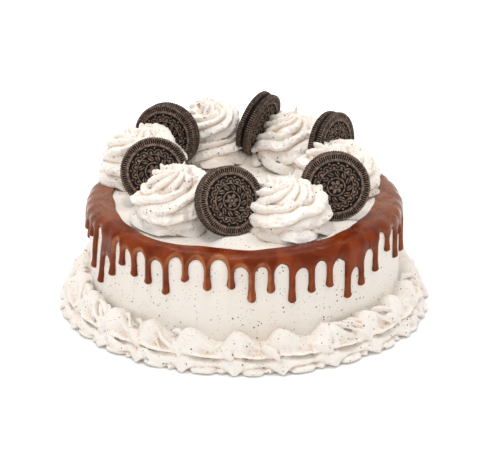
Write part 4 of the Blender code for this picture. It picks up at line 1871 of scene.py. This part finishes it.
        # Relief of the edge and back, low in the gaps between the teeth, where the material paints shade
        raised = np.concatenate([carved, 0.8 * (1.0 - 0.8 * toothed * groove)])
        heights = self.wafer - np.concatenate([self.relief_depth * (1.0 - carved), below * MM * level])
        points = np.stack([
            radii * np.cos(angle), radii * np.sin(angle), heights + self.filling / 2 + GAP
        ], axis=-1)
        grain = 0.035 * sine_noise(points, 1.1 * MM, 90, 14) + 0.06 * sine_noise(points, 6.0 * MM, 91, 8)
        grained = points[..., 2] + grain * MM * (heights > 1.0 * MM)
        points[..., 2] = np.minimum(grained, self.half_thickness())
        if side is Side.BACK:
            points = points * np.array([1.0, -1.0, -1.0])
        body = Surface.closed_tube(self.to_model(points))
        body.values["relief"] = np.append(raised, [raised[0].mean(), 0.0])
        return body

    def filling_surface(self) -> Surface:
        """The filling: a disc with an edge that noise makes uneven.

        Returns:
            The filling in its place.
        """
        angle = np.arange(self.filling_columns) / self.filling_columns * TAU
        radius, height = np.array(FILLING_SECTION).T[..., None]
        radius = radius * MM
        height = height * self.filling / 2 * np.ones(self.filling_columns)
        points = np.stack([radius * np.cos(angle), radius * np.sin(angle), height], axis=-1)
        uneven = 1.0 + 0.012 * sine_noise(points, 5.0 * MM, 95) * smoothstep(radius, 15.0 * MM, 20.0 * MM)
        points[..., :2] *= uneven[..., None]
        return Surface.closed_tube(self.to_model(points))

    def build(self, wafer: Material, filling: Material) -> None:
        """Make the three pieces that stand for the cookie's solids.

        Args:
            wafer: Material of the wafers.
            filling: Material of the filling.
        """
        for side in Side:
            solid = f"{self.name}_{side.value}_wafer"
            mesh = self.wafer_surface(side).mesh(solid)
            add_piece(f"embossed_{solid}", mesh, wafer, (solid,), self.sharp_angle)
        solid = f"{self.name}_filling"
        mesh = self.filling_surface().mesh(solid)
        add_piece(f"{self.name}_painted_shade_filling", mesh, filling, (solid,))


def sandwich_cookies() -> list[SandwichCookie]:
    """The six cookies with their places and the way that their pattern is turned."""
    return [
        SandwichCookie("cookie_back_left", (-51.6, 47.5, 1.7, -22.9, 5.1), spin=0.3),
        SandwichCookie("cookie_left", (-58.0, -13.2, 0.0, -2.4, 22.8), spin=0.0),
        SandwichCookie("cookie_front", (-9.7, -63.5, 0.0, 26.1, 23.2), spin=1.1),
        SandwichCookie("cookie_back", (9.2, 68.0, 2.6, 61.0, -14.0), spin=0.7),
        SandwichCookie("cookie_back_right", (57.6, 35.3, 0.0, 55.6, 3.5), spin=0.2),
        SandwichCookie("cookie_right", (57.7, -39.1, 0.0, 6.2, 13.9), spin=0.9),
    ]


@dataclass(frozen=True)
class Lamp:
    """A soft lamp: its bearing from the front and its elevation in degrees, power and size."""

    name: str
    bearing: float
    elevation: float
    power: float
    size: tuple[float, float]


@dataclass
class Studio:
    """Plain pale floor, soft light and the camera at the photograph's angle."""

    elevation: float = 23.2
    distance: float = 1.64
    aim_height: float = 36.5 * MM
    pixels_per_metre: float = 1515.0
    image_width: int = 480
    aim_pixel_right: float = 4.5
    aim_pixel_down: float = 16.24
    sensor: float = 36.0
    floor_size: float = 8.0
    floor_colour: Colour = (0.93, 0.93, 0.93)
    floor_roughness: float = 0.9
    floor_glow: tuple[float, float] = (0.04, 0.4)
    glow_distances: tuple[float, float] = (0.12, 0.45)
    sky: float = 0.70
    lamp_distance: float = 1.5
    lamps: tuple[Lamp, ...] = (
        Lamp("left_back", -146.0, 60.0, 2.2, (0.24, 0.14)),
        Lamp("right_back", 122.0, 68.0, 2.2, (0.34, 0.1)),
        Lamp("overhead", 180.0, 86.0, 3.8, (1.3, 1.3)),
        Lamp("gloss", -20.0, 78.0, 4.2, (0.24, 0.09)),
        Lamp("front_top", -8.0, 62.0, 0.9, (0.9, 0.9)),
        Lamp("left_front", -52.0, 42.0, 1.6, (0.9, 0.9)),
        Lamp("right_front", 44.0, 48.0, 0.6, (0.9, 0.9)),
    )
    white: Colour = (1.0, 0.993, 0.983)

    def camera(self) -> None:
        """Add the camera, its lens worked out from the scale of the picture."""
        data = bpy.data.cameras.new("camera")
        data.sensor_width = self.sensor
        data.lens = self.pixels_per_metre * self.distance * self.sensor / self.image_width
        data.shift_x = -self.aim_pixel_right / self.image_width
        data.shift_y = self.aim_pixel_down / self.image_width
        camera = shown("camera", data)
        tilt = math.radians(self.elevation)
        back, rise = self.distance * math.cos(tilt), self.distance * math.sin(tilt)
        camera.location = (0.0, -back, self.aim_height + rise)
        camera.rotation_euler = (math.pi / 2 - tilt, 0.0, 0.0)
        bpy.context.scene.camera = camera

    def light(self, setting: Lamp) -> None:
        """Add a lamp that shines at the middle of the cake.

        Args:
            setting: The lamp.
        """
        data = bpy.data.lights.new(setting.name, "AREA")
        data.shape = "RECTANGLE"
        data.size, data.size_y = setting.size
        data.energy = setting.power
        data.color = self.white
        lamp = shown(setting.name, data)
        elevation = math.radians(setting.elevation)
        way = Vector(outward_at(np.radians(setting.bearing)) * math.cos(elevation))
        way.z = math.sin(elevation)
        lamp.location = Vector((0.0, 0.0, self.aim_height)) + self.lamp_distance * way
        lamp.rotation_euler = (-way).to_track_quat("-Z", "Y").to_euler()

    def floor(self) -> None:
        """Add the floor, which isn't part of the cake and glows a little, more so far away."""
        half = self.floor_size / 2
        mesh = bpy.data.meshes.new("floor")
        corners = [(-half, -half, 0.0), (half, -half, 0.0), (half, half, 0.0), (-half, half, 0.0)]
        mesh.from_pydata(corners, [], [(0, 1, 2, 3)])
        graph = Graph("pale_floor")
        away = graph.add("ShaderNodeVectorMath", {0: graph.place}, operation="LENGTH").outputs["Value"]
        mesh.materials.append(graph.dressed({
            "Base Color": (*self.floor_colour, 1.0),
            "Roughness": self.floor_roughness,
            "Specular IOR Level": 0.0,
            "Emission Color": (1.0, 1.0, 1.0, 1.0),
            "Emission Strength": graph.ramp(away, *self.glow_distances, *self.floor_glow),
        }))
        shown("floor", mesh)

    def surroundings(self) -> None:
        """Even pale light from all round."""
        world = bpy.data.worlds.new("studio")
        world.use_nodes = True
        background = world.node_tree.nodes["Background"]
        background.inputs["Color"].default_value = (*self.white, 1.0)
        background.inputs["Strength"].default_value = self.sky
        bpy.context.scene.world = world

    def build(self) -> None:
        """Set up the world, the lamps, the floor and the camera."""
        self.surroundings()
        for setting in self.lamps:
            self.light(setting)
        self.floor()
        self.camera()
        scene = bpy.context.scene
        scene.view_settings.view_transform = "Standard"
        scene.view_settings.look = "None"


def main() -> None:
    """Build the cake's pieces in order."""
    logging.basicConfig(level=logging.INFO, format="%(message)s")
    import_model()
    frosting = CreamFinish("spread_frosting", (0.845, 0.79, 0.73), folded=False)
    piped = CreamFinish("piped_whipped_cream", (0.88, 0.835, 0.785)).material()
    CakeBody().build(frosting)
    ChocolateGlaze().build(GlazeFinish())
    PipedBorder().build(piped)
    for swirl in piped_swirls():
        swirl.build(piped)
    wafer, filling = WaferFinish().material(), FillingFinish().material()
    for cookie in sandwich_cookies():
        cookie.build(wafer, filling)
    Studio().build()


if __name__ == "__main__":
    main()
